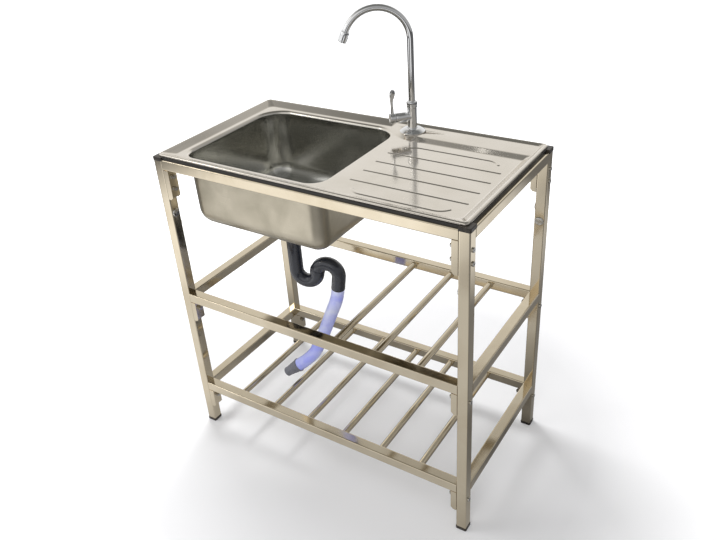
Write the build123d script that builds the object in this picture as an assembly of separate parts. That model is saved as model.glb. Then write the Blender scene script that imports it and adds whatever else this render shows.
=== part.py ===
from build123d import *
import os
from math import cos, pi, radians, sin, tan

# A free-standing kitchen sink: a pressed steel top with one bowl and a drainboard, on a stand of square
# tube with two slatted shelves, a swan-neck tap, and a swan-neck trap with a short waste hose.
# Millimetres. +X is to the right, +Y to the back, +Z up. The origin is on the floor, under the middle.

# ------------------------------------------------------------------ stand
UNIT_WIDTH = 800.0  # over the legs, left to right
UNIT_DEPTH = 425.0  # over the legs, front to back
TUBE = 25.0  # side of the square tube
TUBE_WALL = 1.0
TUBE_CORNER = 2.5
LEG_LENGTH = 788.0
MID_RAIL_TOP = 429.0  # above the floor
BOTTOM_RAIL_TOP = 140.0  # above the floor

SLAT_DIAMETER = 16.0
SLAT_WALL = 1.0
SLAT_PITCH = 108.0
BOTTOM_SLATS = 6
MID_SLATS = 3  # only the right-hand half of the middle shelf has slats

# ------------------------------------------------------------------ plastic feet and corner caps
FOOT_HEIGHT = 8.0
FOOT_SIDE = 27.0
FOOT_CORNER = 3.5
FOOT_EDGE = 2.0
FOOT_PLUG_DEPTH = 18.0
PLUG_CLEARANCE = 0.1  # between a push-in plug and the bore of the tube
CAP_LIP = 1.0  # how far a corner cap stands out past the leg
CAP_LIP_DROP = 3.0
CAP_PLUG_DEPTH = 15.0
CAP_EDGE = 1.5

# ------------------------------------------------------------------ rubber seal under the rim
SEAL_HEIGHT = 6.0
SEAL_WIDTH = 9.5
SEAL_INSET_X = 7.5  # from the outer face of the legs
SEAL_INSET_Y = 3.0
SEAL_EDGE = 1.2

# ------------------------------------------------------------------ bolted corner brackets
BRACKET_REACH = 14.0  # from the leg to the outer face of the web
BRACKET_PLATE = 2.0
BRACKET_CUT = 6.0  # cut-off lower corner
TALL_BRACKET = 75.0
SHORT_BRACKET = 56.0
FIRST_BOLT_DROP = 18.0  # below the rail
SECOND_BOLT_DROP = 48.0  # only on the tall brackets
BOLT_DIAMETER = 6.0
BOLT_CLEARANCE = 0.05
BOLT_HEAD_DIAMETER = 10.5
BOLT_HEAD_HEIGHT = 3.3
BOLT_HEAD_ROUND = 1.5
HEX_KEY = 4.0
HEX_KEY_DEPTH = 1.8
BOLT_END = 2.0  # thread that stands out of the nut
WASHER_DIAMETER = 12.0
WASHER_THICKNESS = 1.2
NUT_ACROSS_FLATS = 10.0
NUT_HEIGHT = 5.0

# ------------------------------------------------------------------ domed plugs in the legs' spare holes
HOLE_PLUG_DIAMETER = 21.0
HOLE_PLUG_DOME = 2.6
HOLE_PLUG_ROUND = 2.2
HOLE_PLUG_STEM = 16.0
HOLE_PLUG_STEM_DEPTH = 4.0
PLUG_HEIGHT_INNER_X = 657.0  # above the floor, on the face that looks along the front or back
PLUG_HEIGHT_INNER_Y = 625.0  # above the floor, on the face that looks along the side

# ------------------------------------------------------------------ pressed sink top
SHEET = 1.0
SINK_INSET_X = 9.0  # of the rim, from the outer face of the legs
SINK_INSET_Y = 5.5
RIM_CORNER = 10.0
RIM_HEIGHT = 6.0  # from the seal to the top of the rim
LIP_RADIUS = 4.0
RIM_FLAT = 1.0
TRAY_DROP = 10.0  # from the top of the rim to the drainboard
TRAY_SLOPE = 21.0  # width of the slope inside the rim
TRAY_CORNER = 14.0
TRAY_TOP_CORNER = 8.0

RIDGE_COUNT = 6
RIDGE_WIDTH = 8.0
RIDGE_HEIGHT = 1.5
RIDGE_LEFT_MARGIN = 48.0  # from the bowl
RIDGE_RIGHT_MARGIN = 17.0  # from the foot of the rim's slope
RIDGE_FRONT_MARGIN = 13.0  # of the first ridge's middle, from the foot of the rim's slope
RIDGE_BACK_MARGIN = 28.0  # of the last ridge's middle, from the tap's deck
OUTER_RIDGE_LATER = 53.0  # how much further right the first and last ridge start to run straight
OUTER_RIDGE_SOONER = 46.0  # and how much further left they stop
OUTER_RIDGE_RADIUS = 32.0
OUTER_RIDGE_SWEEP = 58.0  # degrees

DECK_RISE = 6.0  # of the tap's deck above the drainboard
DECK_REACH = 89.0  # from the back of the rim to the deck's front
DECK_CORNER_MARGIN = 23.0  # from the bowl to the deck's front corner
DECK_END_RUN_X = -62.0  # the deck's left end runs this way to the back
DECK_END_RUN_Y = 77.0
DECK_FRONT_SLOPE = 19.0
DECK_END_SLOPE = 13.0
DECK_CORNER = 18.0
DECK_TOP_CORNER = 8.0

BOWL_WIDTH = 384.0  # over the outside of the walls, at the drainboard
BOWL_HEIGHT = 185.0  # from the drainboard to the underside of the bowl
BOWL_LEFT_MARGIN = 15.0  # between the foot of the rim's slope and the bowl
BOWL_FRONT_MARGIN = 11.0
BOWL_BACK_MARGIN = 13.0
BOWL_FRONT_CORNER = 38.0
BOWL_BACK_CORNER = 60.0
BOWL_TAPER = 3.0  # each wall leans in by this much over the height
BOWL_BOTTOM_RADIUS = 46.0
BOWL_TOP_RADIUS = 8.0

# ------------------------------------------------------------------ strainer in the bowl's floor
DRAIN_OFFSET_X = -25.4  # from the middle of the bowl
DRAIN_OFFSET_Y = -9.0
CUP_DIAMETER = 80.0
CUP_DEPTH = 36.0  # below the bowl's floor
CUP_WALL = 1.0
CUP_FLANGE_DIAMETER = 112.0
CUP_FLANGE_THICKNESS = 1.5
CUP_HOLE_CLEARANCE = 0.5
TAIL_DIAMETER = 40.0  # threaded tail under the cup
TAIL_WALL = 3.0
TAIL_LENGTH = 22.0
GASKET_DIAMETER = 104.0
GASKET_THICKNESS = 3.0
BACKNUT_DIAMETER = 98.0
BACKNUT_HEIGHT = 12.0
BACKNUT_LUGS = 6
BACKNUT_LUG = 6.0
THREAD_CLEARANCE = 0.05

BASKET_CLEARANCE = 1.0  # round the basket, in the cup
BASKET_WALL = 0.8
BASKET_TAPER = 4.0
BASKET_FLOOR = 6.0  # above the floor of the cup
BASKET_RIM_DROP = 3.0  # below the bowl's floor
BASKET_HOLES = 12
BASKET_HOLE_DIAMETER = 4.5
STOPPER_DIAMETER = 44.0
STOPPER_THICKNESS = 3.0
STEM_DIAMETER = 5.0
KNOB_DIAMETER = 15.0
KNOB_HEIGHT = 6.0
KNOB_RISE = 3.0  # of its underside above the bowl's floor
KNOB_ROUND = 1.5

# ------------------------------------------------------------------ trap
PIPE_DIAMETER = 36.0
PIPE_WALL = 2.5
TRAP_RADIUS = 30.0  # of both bends, on the centre line
TRAP_LEVEL = 447.5  # above the floor, where the two bends meet
TRAP_DIRECTION = 10.0  # degrees from +X
OUTLET_TILT = 8.0  # degrees past the half turn
OUTLET_LENGTH = 36.4
SOCKET_DIAMETER = 39.0
SOCKET_SWEEP = 22.0  # degrees of the second bend
COUPLING_DIAMETER = 54.0
COUPLING_BELOW = 10.0  # below the face where tail and trap meet
COUPLING_ABOVE = 18.0
COUPLING_RIBS = 12
COUPLING_RIB = 2.0

# ------------------------------------------------------------------ waste hose
HOSE_DIAMETER = 34.0
HOSE_WALL = 1.5
HOSE_BEND_SHARE = 0.45  # of the shorter run beside a bend
HOSE_FIRST_RUN = 30.0
HOSE_OFFSETS = [  # of the points on its way, from the trap's outlet
    (-20.8, -8.9, -74.2),
    (-35.6, -21.4, -122.4),
    (-49.3, -36.4, -165.3),
    (-63.1, -52.6, -205.0),
    (-101.0, -69.9, -235.8),
]
CUFF_LENGTH = 46.0
CUFF_LIP_DIAMETER = 38.0
CUFF_LIP_LENGTH = 4.0
CUFF_DIAMETER = 34.0
SPIGOT_DIAMETER = 26.0
SPIGOT_LENGTH = 12.0
SPIGOT_BORE = 20.0
CUFF_RIBS = 4
CUFF_RIB = 1.2

# ------------------------------------------------------------------ tap
TAP_MARGIN = 40.0  # from the bowl to the tap's axis
TAP_HOLE_CLEARANCE = 1.0
SHANK_DIAMETER = 22.0  # threaded for the nut under the deck
SHANK_LENGTH = 16.0  # below the deck
INLET_DIAMETER = 20.96  # half-inch pipe thread
INLET_LENGTH = 40.0  # below the shank
INLET_BORE = 13.0
TAP_FLANGE_DIAMETER = 60.0
TAP_FLANGE_EDGE = 2.0
TAP_FLANGE_HEIGHT = 9.0
TAP_FLANGE_GAP = 0.6  # between the flange and the rim's slope behind it
TAP_BODY_DIAMETER = 22.0
TAP_BODY_HEIGHT = 74.0  # above the deck
COLLAR_DIAMETER = 25.0
COLLAR_HEIGHT = 15.0
COLLAR_ROUND = 2.0
VALVE_HEIGHT = 37.0  # above the deck
VALVE_DIAMETER = 23.0
VALVE_REACH = 40.0  # from the tap's axis to the valve's end
VALVE_DIRECTION = 225.0  # degrees from +X
SPINDLE_DIAMETER = 8.0
SPINDLE_LENGTH = 14.0
RUNNING_CLEARANCE = 0.05
HUB_LENGTH = 14.0
HUB_ROUND = 2.0
LEVER_HEIGHT = 69.0  # above the valve's axis
LEVER_NECK = 6.0
LEVER_ROOT = 9.0
LEVER_TIP_WIDTH = 14.0
LEVER_TIP_THICKNESS = 4.0
SPOUT_DIAMETER = 15.0
SPOUT_WALL = 1.0
SPOUT_SEAT_DEPTH = 25.0  # of the spout in the collar
SPOUT_RISE = 214.0  # from the deck to the centre of the swan neck
SPOUT_RADIUS = 73.5
SPOUT_SWEEP = 158.0
SPOUT_TIP = 8.0  # straight end that the aerator screws on
SPOUT_DIRECTION = 215.0  # degrees from +X
AERATOR_DIAMETER = 20.0
AERATOR_LENGTH = 24.0
AERATOR_SOCKET = 7.0
AERATOR_BORE = 12.0
AERATOR_ROUND = 1.0
TAP_NUT_ACROSS_FLATS = 30.0
TAP_NUT_HEIGHT = 9.0
TAP_WASHER_DIAMETER = 38.0
TAP_WASHER_THICKNESS = 2.5

# ------------------------------------------------------------------ places worked out from the sizes
LEG_TOP = FOOT_HEIGHT + LEG_LENGTH
LEG_X = (UNIT_WIDTH - TUBE) / 2
LEG_Y = (UNIT_DEPTH - TUBE) / 2
INNER_X = UNIT_WIDTH / 2 - TUBE  # inner faces of the legs
INNER_Y = UNIT_DEPTH / 2 - TUBE
TUBE_BORE = TUBE - 2 * TUBE_WALL
SINK_WIDTH = UNIT_WIDTH - 2 * SINK_INSET_X
SINK_DEPTH = UNIT_DEPTH - 2 * SINK_INSET_Y
RIM_EDGE = LIP_RADIUS + RIM_FLAT  # from the outside of the rim to the top of its slope
TRAY_X = SINK_WIDTH / 2 - RIM_EDGE - TRAY_SLOPE  # foot of the rim's slope
TRAY_Y = SINK_DEPTH / 2 - RIM_EDGE - TRAY_SLOPE
BOWL_DEPTH = 2 * TRAY_Y - BOWL_FRONT_MARGIN - BOWL_BACK_MARGIN
BOWL_X = -TRAY_X + BOWL_LEFT_MARGIN + BOWL_WIDTH / 2
BOWL_Y = (BOWL_FRONT_MARGIN - BOWL_BACK_MARGIN) / 2
BOWL_RIGHT = BOWL_X + BOWL_WIDTH / 2
DECK_FRONT_Y = SINK_DEPTH / 2 - DECK_REACH
DECK_CORNER_X = BOWL_RIGHT + DECK_CORNER_MARGIN
RIDGE_START_X = BOWL_RIGHT + RIDGE_LEFT_MARGIN
RIDGE_END_X = TRAY_X - RIDGE_RIGHT_MARGIN
RIDGE_FIRST_Y = -TRAY_Y + RIDGE_FRONT_MARGIN
RIDGE_PITCH = (DECK_FRONT_Y - RIDGE_BACK_MARGIN - RIDGE_FIRST_Y) / (RIDGE_COUNT - 1)
DRAIN_X = BOWL_X + DRAIN_OFFSET_X
DRAIN_Y = BOWL_Y + DRAIN_OFFSET_Y
DECK_BACK_Y = TRAY_Y + TRAY_SLOPE * DECK_RISE / TRAY_DROP  # where the deck meets the rim's slope
TAP_X = BOWL_RIGHT + TAP_MARGIN
TAP_Y = DECK_BACK_Y - TAP_FLANGE_GAP - TAP_FLANGE_DIAMETER / 2
SKIRT_BOTTOM = LEG_TOP + SEAL_HEIGHT
RIM_TOP = SKIRT_BOTTOM + RIM_HEIGHT
BOARD_TOP = RIM_TOP - TRAY_DROP
DECK_TOP = BOARD_TOP + DECK_RISE
BOWL_UNDERSIDE = BOARD_TOP - BOWL_HEIGHT
BOWL_FLOOR = BOWL_UNDERSIDE + SHEET
CUP_FLOOR = BOWL_FLOOR - CUP_DEPTH
TAIL_END = CUP_FLOOR - CUP_WALL - TAIL_LENGTH
CUFF_CONE_END = CUFF_LENGTH - SPIGOT_LENGTH

SIDES = {"left": -1, "right": 1}
ENDS = {"front": -1, "back": 1}
RAIL_TOPS = {"top": LEG_TOP, "mid": MID_RAIL_TOP, "bottom": BOTTOM_RAIL_TOP}
BRACKET_HEIGHTS = {"top": TALL_BRACKET, "mid": SHORT_BRACKET, "bottom": SHORT_BRACKET}
BOLT_DROPS = {
    "top": (FIRST_BOLT_DROP, SECOND_BOLT_DROP),
    "mid": (FIRST_BOLT_DROP,),
    "bottom": (FIRST_BOLT_DROP,),
}

nodes = {}


# ------------------------------------------------------------------ helpers
def turned(profile_points):
    """A solid turned about the Z axis from (radius, height) points."""
    face = make_face(Polyline(*[(r, 0, z) for r, z in profile_points], close=True))
    return revolve(face, Axis.Z)


def ring(outer_radius, inner_radius, bottom, top):
    """A plain ring or tube about the Z axis."""
    return turned([(inner_radius, bottom), (outer_radius, bottom), (outer_radius, top), (inner_radius, top)])


def rod(radius, bottom, top):
    """A plain round bar about the Z axis."""
    return Pos(0, 0, bottom) * extrude(Circle(radius), amount=top - bottom)


def square_tube(length):
    """Square tube along +Z from the origin."""
    outer = RectangleRounded(TUBE, TUBE, TUBE_CORNER)
    inner = RectangleRounded(TUBE_BORE, TUBE_BORE, TUBE_CORNER - TUBE_WALL)
    return extrude(outer - inner, amount=length)


def block(x_low, x_high, y_low, y_high, z_low, z_high):
    """A box between two corners."""
    centre = Pos((x_low + x_high) / 2, (y_low + y_high) / 2, (z_low + z_high) / 2)
    return centre * Box(x_high - x_low, y_high - y_low, z_high - z_low)


def corners():
    """Name and signs of each corner of the stand."""
    for end, end_sign in ENDS.items():
        for side, side_sign in SIDES.items():
            yield f"{end}_{side}", side_sign, end_sign


def along_x(side_sign):
    """Turns a piece drawn on the left legs' inner faces, looking along +X, to either side."""
    return Rot(0, 0, 0) if side_sign < 0 else Rot(0, 0, 180)


def joint_seat(side_sign, end_sign, height):
    """Where a bolted piece sits: on a leg's inner face, with its own +X towards the middle."""
    return Pos(side_sign * INNER_X, end_sign * LEG_Y, height) * along_x(side_sign)


def bolt_seats():
    """Every bolt's place, at the inner face of its leg."""
    for level, rail_top in RAIL_TOPS.items():
        for drop in BOLT_DROPS[level]:
            for name, side_sign, end_sign in corners():
                yield joint_seat(side_sign, end_sign, rail_top - TUBE - drop)


def hole_plug_seats(side_sign, end_sign):
    """Places of one leg's two hole plugs, each with +Z out of the leg."""
    yield Pos(side_sign * INNER_X, end_sign * LEG_Y, PLUG_HEIGHT_INNER_X) * Rot(0, -90 * side_sign, 0)
    yield Pos(side_sign * LEG_X, end_sign * INNER_Y, PLUG_HEIGHT_INNER_Y) * Rot(90 * end_sign, 0, 0)


# ------------------------------------------------------------------ stand
def leg(side_sign, end_sign):
    axis = Pos(side_sign * LEG_X, end_sign * LEG_Y, 0)
    body = axis * Pos(0, 0, FOOT_HEIGHT) * square_tube(LEG_LENGTH)
    bolt_hole = Rot(0, 90, 0) * Cylinder(BOLT_DIAMETER / 2 + BOLT_CLEARANCE, TUBE * 1.2)
    for level, rail_top in RAIL_TOPS.items():
        for drop in BOLT_DROPS[level]:
            body -= axis * Pos(0, 0, rail_top - TUBE - drop) * bolt_hole
    plug_hole = Cylinder(HOLE_PLUG_STEM / 2 + BOLT_CLEARANCE, TUBE / 2)
    for seat in hole_plug_seats(side_sign, end_sign):
        body -= seat * plug_hole
    return body


def make_stand():
    for name, side_sign, end_sign in corners():
        nodes[f"leg_{name}"] = leg(side_sign, end_sign)
    for level, rail_top in RAIL_TOPS.items():
        height = rail_top - TUBE / 2
        for end, end_sign in ENDS.items():
            place = Pos(-INNER_X, end_sign * LEG_Y, height) * Rot(0, 90, 0)
            nodes[f"{level}_rail_{end}"] = place * square_tube(2 * INNER_X)
        for side, side_sign in SIDES.items():
            place = Pos(side_sign * LEG_X, -INNER_Y, height) * Rot(-90, 0, 0)
            nodes[f"{level}_rail_{side}"] = place * square_tube(2 * INNER_Y)


def slat(x, height):
    tube = ring(SLAT_DIAMETER / 2, SLAT_DIAMETER / 2 - SLAT_WALL, 0, 2 * INNER_Y)
    return Pos(x, -INNER_Y, height) * Rot(-90, 0, 0) * tube


def make_shelves():
    first_x = -SLAT_PITCH * (BOTTOM_SLATS - 1) / 2
    for number in range(BOTTOM_SLATS):
        x = first_x + number * SLAT_PITCH
        nodes[f"bottom_slat_{number + 1}"] = slat(x, BOTTOM_RAIL_TOP - TUBE / 2)
        place = number - (BOTTOM_SLATS - MID_SLATS)
        if place >= 0:
            nodes[f"mid_slat_{place + 1}"] = slat(x, MID_RAIL_TOP - TUBE / 2)


def tube_plug(depth):
    """The square stub of a foot or cap that pushes into a leg."""
    side = TUBE_BORE - 2 * PLUG_CLEARANCE
    return extrude(RectangleRounded(side, side, TUBE_CORNER - TUBE_WALL), amount=depth)


def foot():
    pad = extrude(RectangleRounded(FOOT_SIDE, FOOT_SIDE, FOOT_CORNER), amount=FOOT_HEIGHT)
    pad = fillet(pad.edges().group_by(Axis.Z)[0], FOOT_EDGE)
    return pad + Pos(0, 0, FOOT_HEIGHT) * tube_plug(FOOT_PLUG_DEPTH)


def corner_cap():
    """The cap of the back right leg, about that leg's axis and top."""
    inner = -TUBE / 2
    outer = TUBE / 2 + CAP_LIP
    head = block(inner, outer, inner, outer, -CAP_LIP_DROP, SEAL_HEIGHT)
    head = fillet(head.edges().filter_by(Axis.Z).sort_by(Axis((0, 0, 0), (1, 1, 0)))[-1], FOOT_CORNER)
    rim = head.edges().group_by(Axis.Z)[-1]
    head = fillet([edge for edge in rim if min(edge.center().X, edge.center().Y) > -CAP_LIP], CAP_EDGE)
    head -= block(inner - 1, TUBE / 2, inner - 1, TUBE / 2, -CAP_LIP_DROP, 0)
    return head + Pos(0, 0, -CAP_PLUG_DEPTH) * tube_plug(CAP_PLUG_DEPTH)


def make_plastic_ends():
    cap = corner_cap()
    for name, side_sign, end_sign in corners():
        nodes[f"foot_{name}"] = Pos(side_sign * LEG_X, end_sign * LEG_Y, 0) * foot()
        handed = cap if side_sign > 0 else mirror(cap, about=Plane.YZ)
        handed = handed if end_sign > 0 else mirror(handed, about=Plane.XZ)
        nodes[f"corner_cap_{name}"] = Pos(side_sign * LEG_X, end_sign * LEG_Y, LEG_TOP) * handed


def seal_strip(x_low, x_high, y_low, y_high):
    strip = block(x_low, x_high, y_low, y_high, LEG_TOP, LEG_TOP + SEAL_HEIGHT)
    long_axis = Axis.X if x_high - x_low > y_high - y_low else Axis.Y
    cross = Axis.Y if long_axis is Axis.X else Axis.X
    top = strip.edges().filter_by(long_axis).group_by(Axis.Z)[-1].sort_by(cross)
    outer = top[-1] if strip.center().dot(Vector(*cross.direction)) > 0 else top[0]
    return fillet(outer, SEAL_EDGE)


def make_seal():
    outer_y = UNIT_DEPTH / 2 - SEAL_INSET_Y
    outer_x = UNIT_WIDTH / 2 - SEAL_INSET_X
    nodes["seal_front"] = seal_strip(-INNER_X, INNER_X, -outer_y, -outer_y + SEAL_WIDTH)
    nodes["seal_back"] = seal_strip(-INNER_X, INNER_X, outer_y - SEAL_WIDTH, outer_y)
    nodes["seal_left"] = seal_strip(-outer_x, -outer_x + SEAL_WIDTH, -INNER_Y, INNER_Y)
    nodes["seal_right"] = seal_strip(outer_x - SEAL_WIDTH, outer_x, -INNER_Y, INNER_Y)


# ------------------------------------------------------------------ brackets and their bolts
def bracket(height, bolt_drops):
    """A channel open to the leg. +X is away from the leg, and the rail's underside is at 0."""
    half = TUBE / 2
    body = block(0, BRACKET_REACH, -half, half, -height, 0)
    web = BRACKET_REACH - BRACKET_PLATE
    body -= block(-1, web, -half + BRACKET_PLATE, half - BRACKET_PLATE, -height - 1, 1)
    wedge = make_face(
        Polyline(
            (BRACKET_REACH - BRACKET_CUT, 0, -height),
            (BRACKET_REACH, 0, -height + BRACKET_CUT),
            (BRACKET_REACH, 0, -height),
            close=True,
        )
    )
    body -= extrude(wedge, amount=TUBE, both=True)
    for drop in bolt_drops:
        body -= Pos(web, 0, -drop) * Rot(0, 90, 0) * Cylinder(BOLT_DIAMETER / 2 + BOLT_CLEARANCE, BRACKET_REACH)
    return body


def bolt():
    """A button-head bolt along +X. The leg's inner face is at 0."""
    head = rod(BOLT_HEAD_DIAMETER / 2, -BOLT_HEAD_HEIGHT, 0)
    head = fillet(head.edges().group_by(Axis.Z)[0], BOLT_HEAD_ROUND)
    key = RegularPolygon(HEX_KEY / 2, 6, major_radius=False)
    head -= Pos(0, 0, -BOLT_HEAD_HEIGHT) * extrude(key, amount=HEX_KEY_DEPTH)
    length = TUBE + BRACKET_REACH + WASHER_THICKNESS + NUT_HEIGHT + BOLT_END
    return Pos(-TUBE, 0, 0) * Rot(0, 90, 0) * (head + rod(BOLT_DIAMETER / 2, 0, length))


def bolt_bore(outer, thickness):
    """A washer or nut blank with the bolt's hole, along +X."""
    blank = extrude(outer, amount=thickness)
    blank -= extrude(Circle(BOLT_DIAMETER / 2 + BOLT_CLEARANCE), amount=thickness)
    return Rot(0, 90, 0) * blank


def make_brackets():
    for level, rail_top in RAIL_TOPS.items():
        piece = bracket(BRACKET_HEIGHTS[level], BOLT_DROPS[level])
        seats = [joint_seat(side_sign, end_sign, rail_top - TUBE) for name, side_sign, end_sign in corners()]
        nodes[f"{level}_brackets"] = Compound([seat * piece for seat in seats])
    washer = Pos(BRACKET_REACH, 0, 0) * bolt_bore(Circle(WASHER_DIAMETER / 2), WASHER_THICKNESS)
    hexagon = RegularPolygon(NUT_ACROSS_FLATS / 2, 6, major_radius=False)
    nut = Pos(BRACKET_REACH + WASHER_THICKNESS, 0, 0) * bolt_bore(hexagon, NUT_HEIGHT)
    nodes["frame_bolts"] = Compound([seat * bolt() for seat in bolt_seats()])
    nodes["frame_washers"] = Compound([seat * washer for seat in bolt_seats()])
    nodes["frame_nuts"] = Compound([seat * nut for seat in bolt_seats()])


def hole_plug():
    dome = rod(HOLE_PLUG_DIAMETER / 2, 0, HOLE_PLUG_DOME)
    dome = fillet(dome.edges().group_by(Axis.Z)[-1], HOLE_PLUG_ROUND)
    return dome + rod(HOLE_PLUG_STEM / 2, -HOLE_PLUG_STEM_DEPTH, 0)


def make_hole_plugs():
    plugs = []
    for name, side_sign, end_sign in corners():
        for seat in hole_plug_seats(side_sign, end_sign):
            plugs.append(seat * hole_plug())
    nodes["leg_hole_plugs"] = Compound(plugs)


# ------------------------------------------------------------------ pressed sink top
def tray_hollow(drop):
    """The space inside the rim, down to the drainboard."""
    above = 1.0
    spread = TRAY_SLOPE * (1 + above / TRAY_DROP)
    low = RectangleRounded(2 * TRAY_X, 2 * TRAY_Y, TRAY_CORNER)
    high = RectangleRounded(2 * (TRAY_X + spread), 2 * (TRAY_Y + spread), TRAY_TOP_CORNER)
    return loft([Pos(0, 0, BOARD_TOP - drop) * low, Pos(0, 0, RIM_TOP - drop + above) * high], ruled=True)


def bowl_outline(inset):
    """The bowl's plan, inset from the outside of its walls."""
    plan = Rectangle(BOWL_WIDTH - 2 * inset, BOWL_DEPTH - 2 * inset)
    plan = fillet(plan.vertices().group_by(Axis.Y)[-1], BOWL_BACK_CORNER - inset)
    plan = fillet(plan.vertices().sort_by(Axis.Y)[:2], BOWL_FRONT_CORNER - inset)
    return Pos(BOWL_X, BOWL_Y) * plan


def bowl_hollow(drop):
    """The space inside the bowl. With drop at one sheet it is the outside of the bowl."""
    inset = SHEET - drop
    above = 2.0
    lean = BOWL_TAPER / BOWL_HEIGHT
    low = Pos(0, 0, BOWL_FLOOR - drop) * bowl_outline(inset + BOWL_TAPER)
    high = Pos(0, 0, BOARD_TOP - drop + above) * bowl_outline(inset - lean * above)
    hollow = loft([low, high], ruled=True)
    return fillet(hollow.edges().group_by(Axis.Z)[0], BOWL_BOTTOM_RADIUS - inset)


def deck_plan(front_inset, end_inset, corner):
    """The tap deck's plan: a straight front, a slanted left end, and a back and right end under the rim."""
    slant = DECK_END_RUN_X / DECK_END_RUN_Y
    shift = end_inset * (1 + slant**2) ** 0.5 + front_inset * slant
    front = DECK_FRONT_Y + front_inset
    corner_x = DECK_CORNER_X + shift
    back = SINK_DEPTH / 2 - RIM_EDGE - SHEET
    back_x = corner_x + (back - front) * slant
    right = SINK_WIDTH / 2 - RIM_EDGE - SHEET
    plan = make_face(Polyline((corner_x, front), (right, front), (right, back), (back_x, back), close=True))
    knee = plan.vertices().filter_by(lambda v: abs(v.X - corner_x) < 0.01 and abs(v.Y - front) < 0.01)
    return fillet(knee, corner)


def deck_block(drop):
    low = Pos(0, 0, BOARD_TOP - drop) * deck_plan(0, 0, DECK_CORNER)
    high = Pos(0, 0, DECK_TOP - drop) * deck_plan(DECK_FRONT_SLOPE, DECK_END_SLOPE, DECK_TOP_CORNER)
    return loft([low, high], ruled=True)


def ridge_line(number):
    """Centre line of one drainboard ridge. The first and last curl in at both ends."""
    y = RIDGE_FIRST_Y + number * RIDGE_PITCH
    if 0 < number < RIDGE_COUNT - 1:
        return Wire([Edge.make_line((RIDGE_START_X, y), (RIDGE_END_X, y))])
    curl = 1 if number == 0 else -1
    start = (RIDGE_START_X + OUTER_RIDGE_LATER, y)
    end = (RIDGE_END_X - OUTER_RIDGE_SOONER, y)
    angle = radians(OUTER_RIDGE_SWEEP)
    half = angle / 2
    reach = OUTER_RIDGE_RADIUS * sin(angle)
    rise = curl * OUTER_RIDGE_RADIUS * (1 - cos(angle))
    half_reach = OUTER_RIDGE_RADIUS * sin(half)
    half_rise = curl * OUTER_RIDGE_RADIUS * (1 - cos(half))
    left = Edge.make_three_point_arc(
        (start[0] - reach, y + rise), (start[0] - half_reach, y + half_rise), start
    )
    right = Edge.make_three_point_arc(end, (end[0] + half_reach, y + half_rise), (end[0] + reach, y + rise))
    return Wire([left, Edge.make_line(start, end), right])


def ridge_block(number, drop):
    """One ridge with 45 degree flanks. The sheet under it keeps its thickness."""
    narrower = drop * tan(radians(45) / 2)
    line = ridge_line(number)
    low = Face(line.offset_2d(RIDGE_WIDTH / 2 - narrower))
    high = Face(line.offset_2d(RIDGE_WIDTH / 2 - narrower - RIDGE_HEIGHT))
    base = BOARD_TOP - drop
    return loft([Pos(0, 0, base) * low, Pos(0, 0, base + RIDGE_HEIGHT) * high], ruled=True)


def under_surface(drop):
    """Everything under the sheet's top surface, lowered by drop and drawn in by it."""
    bottom = BOWL_UNDERSIDE - 10 - 10 * drop
    top = RIM_TOP - drop
    plan = RectangleRounded(SINK_WIDTH - 2 * drop, SINK_DEPTH - 2 * drop, RIM_CORNER - drop)
    body = Pos(0, 0, bottom) * extrude(plan, amount=top - bottom)
    body = fillet(body.edges().group_by(Axis.Z)[-1], LIP_RADIUS - drop)
    body -= tray_hollow(drop)
    body -= bowl_hollow(drop)
    level = body.edges().filter_by_position(Axis.Z, BOARD_TOP - drop - 0.01, BOARD_TOP - drop + 0.01)
    mouth = level.filter_by(
        lambda edge: abs(edge.center().X - BOWL_X) <= BOWL_WIDTH / 2
        and abs(edge.center().Y - BOWL_Y) <= BOWL_DEPTH / 2
    )
    body = fillet(mouth, BOWL_TOP_RADIUS - drop)
    body += deck_block(drop)
    for number in range(RIDGE_COUNT):
        body += ridge_block(number, drop)
    return body


def sink_top():
    sheet = under_surface(0) - under_surface(SHEET)
    lowest = BOWL_UNDERSIDE - 30
    clear = SHEET + 1
    inside = RectangleRounded(SINK_WIDTH - 2 * clear, SINK_DEPTH - 2 * clear, RIM_CORNER - clear)
    around = Rectangle(SINK_WIDTH + 2 * clear, SINK_DEPTH + 2 * clear) - inside
    sheet -= Pos(0, 0, lowest) * extrude(around, amount=SKIRT_BOTTOM - lowest)
    hole = CUP_DIAMETER / 2 + CUP_HOLE_CLEARANCE
    sheet -= Pos(DRAIN_X, DRAIN_Y, 0) * rod(hole, BOWL_UNDERSIDE - 1, BOWL_FLOOR + 1)
    tap_hole = SHANK_DIAMETER / 2 + TAP_HOLE_CLEARANCE
    sheet -= Pos(TAP_X, TAP_Y, 0) * rod(tap_hole, DECK_TOP - 2 * SHEET, DECK_TOP + 1)
    return sheet


# ------------------------------------------------------------------ strainer
def drain_flange():
    cup = CUP_DIAMETER / 2
    under_floor = CUP_FLOOR - CUP_WALL
    tail = TAIL_DIAMETER / 2
    bore = tail - TAIL_WALL
    return turned(
        [
            (bore, TAIL_END),
            (tail, TAIL_END),
            (tail, under_floor),
            (cup, under_floor),
            (cup, BOWL_FLOOR),
            (CUP_FLANGE_DIAMETER / 2, BOWL_FLOOR),
            (CUP_FLANGE_DIAMETER / 2, BOWL_FLOOR + CUP_FLANGE_THICKNESS / 2),
            (cup, BOWL_FLOOR + CUP_FLANGE_THICKNESS),
            (cup - CUP_WALL, BOWL_FLOOR + CUP_FLANGE_THICKNESS / 2),
            (cup - CUP_WALL, CUP_FLOOR),
            (bore, CUP_FLOOR),
        ]
    )


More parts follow.
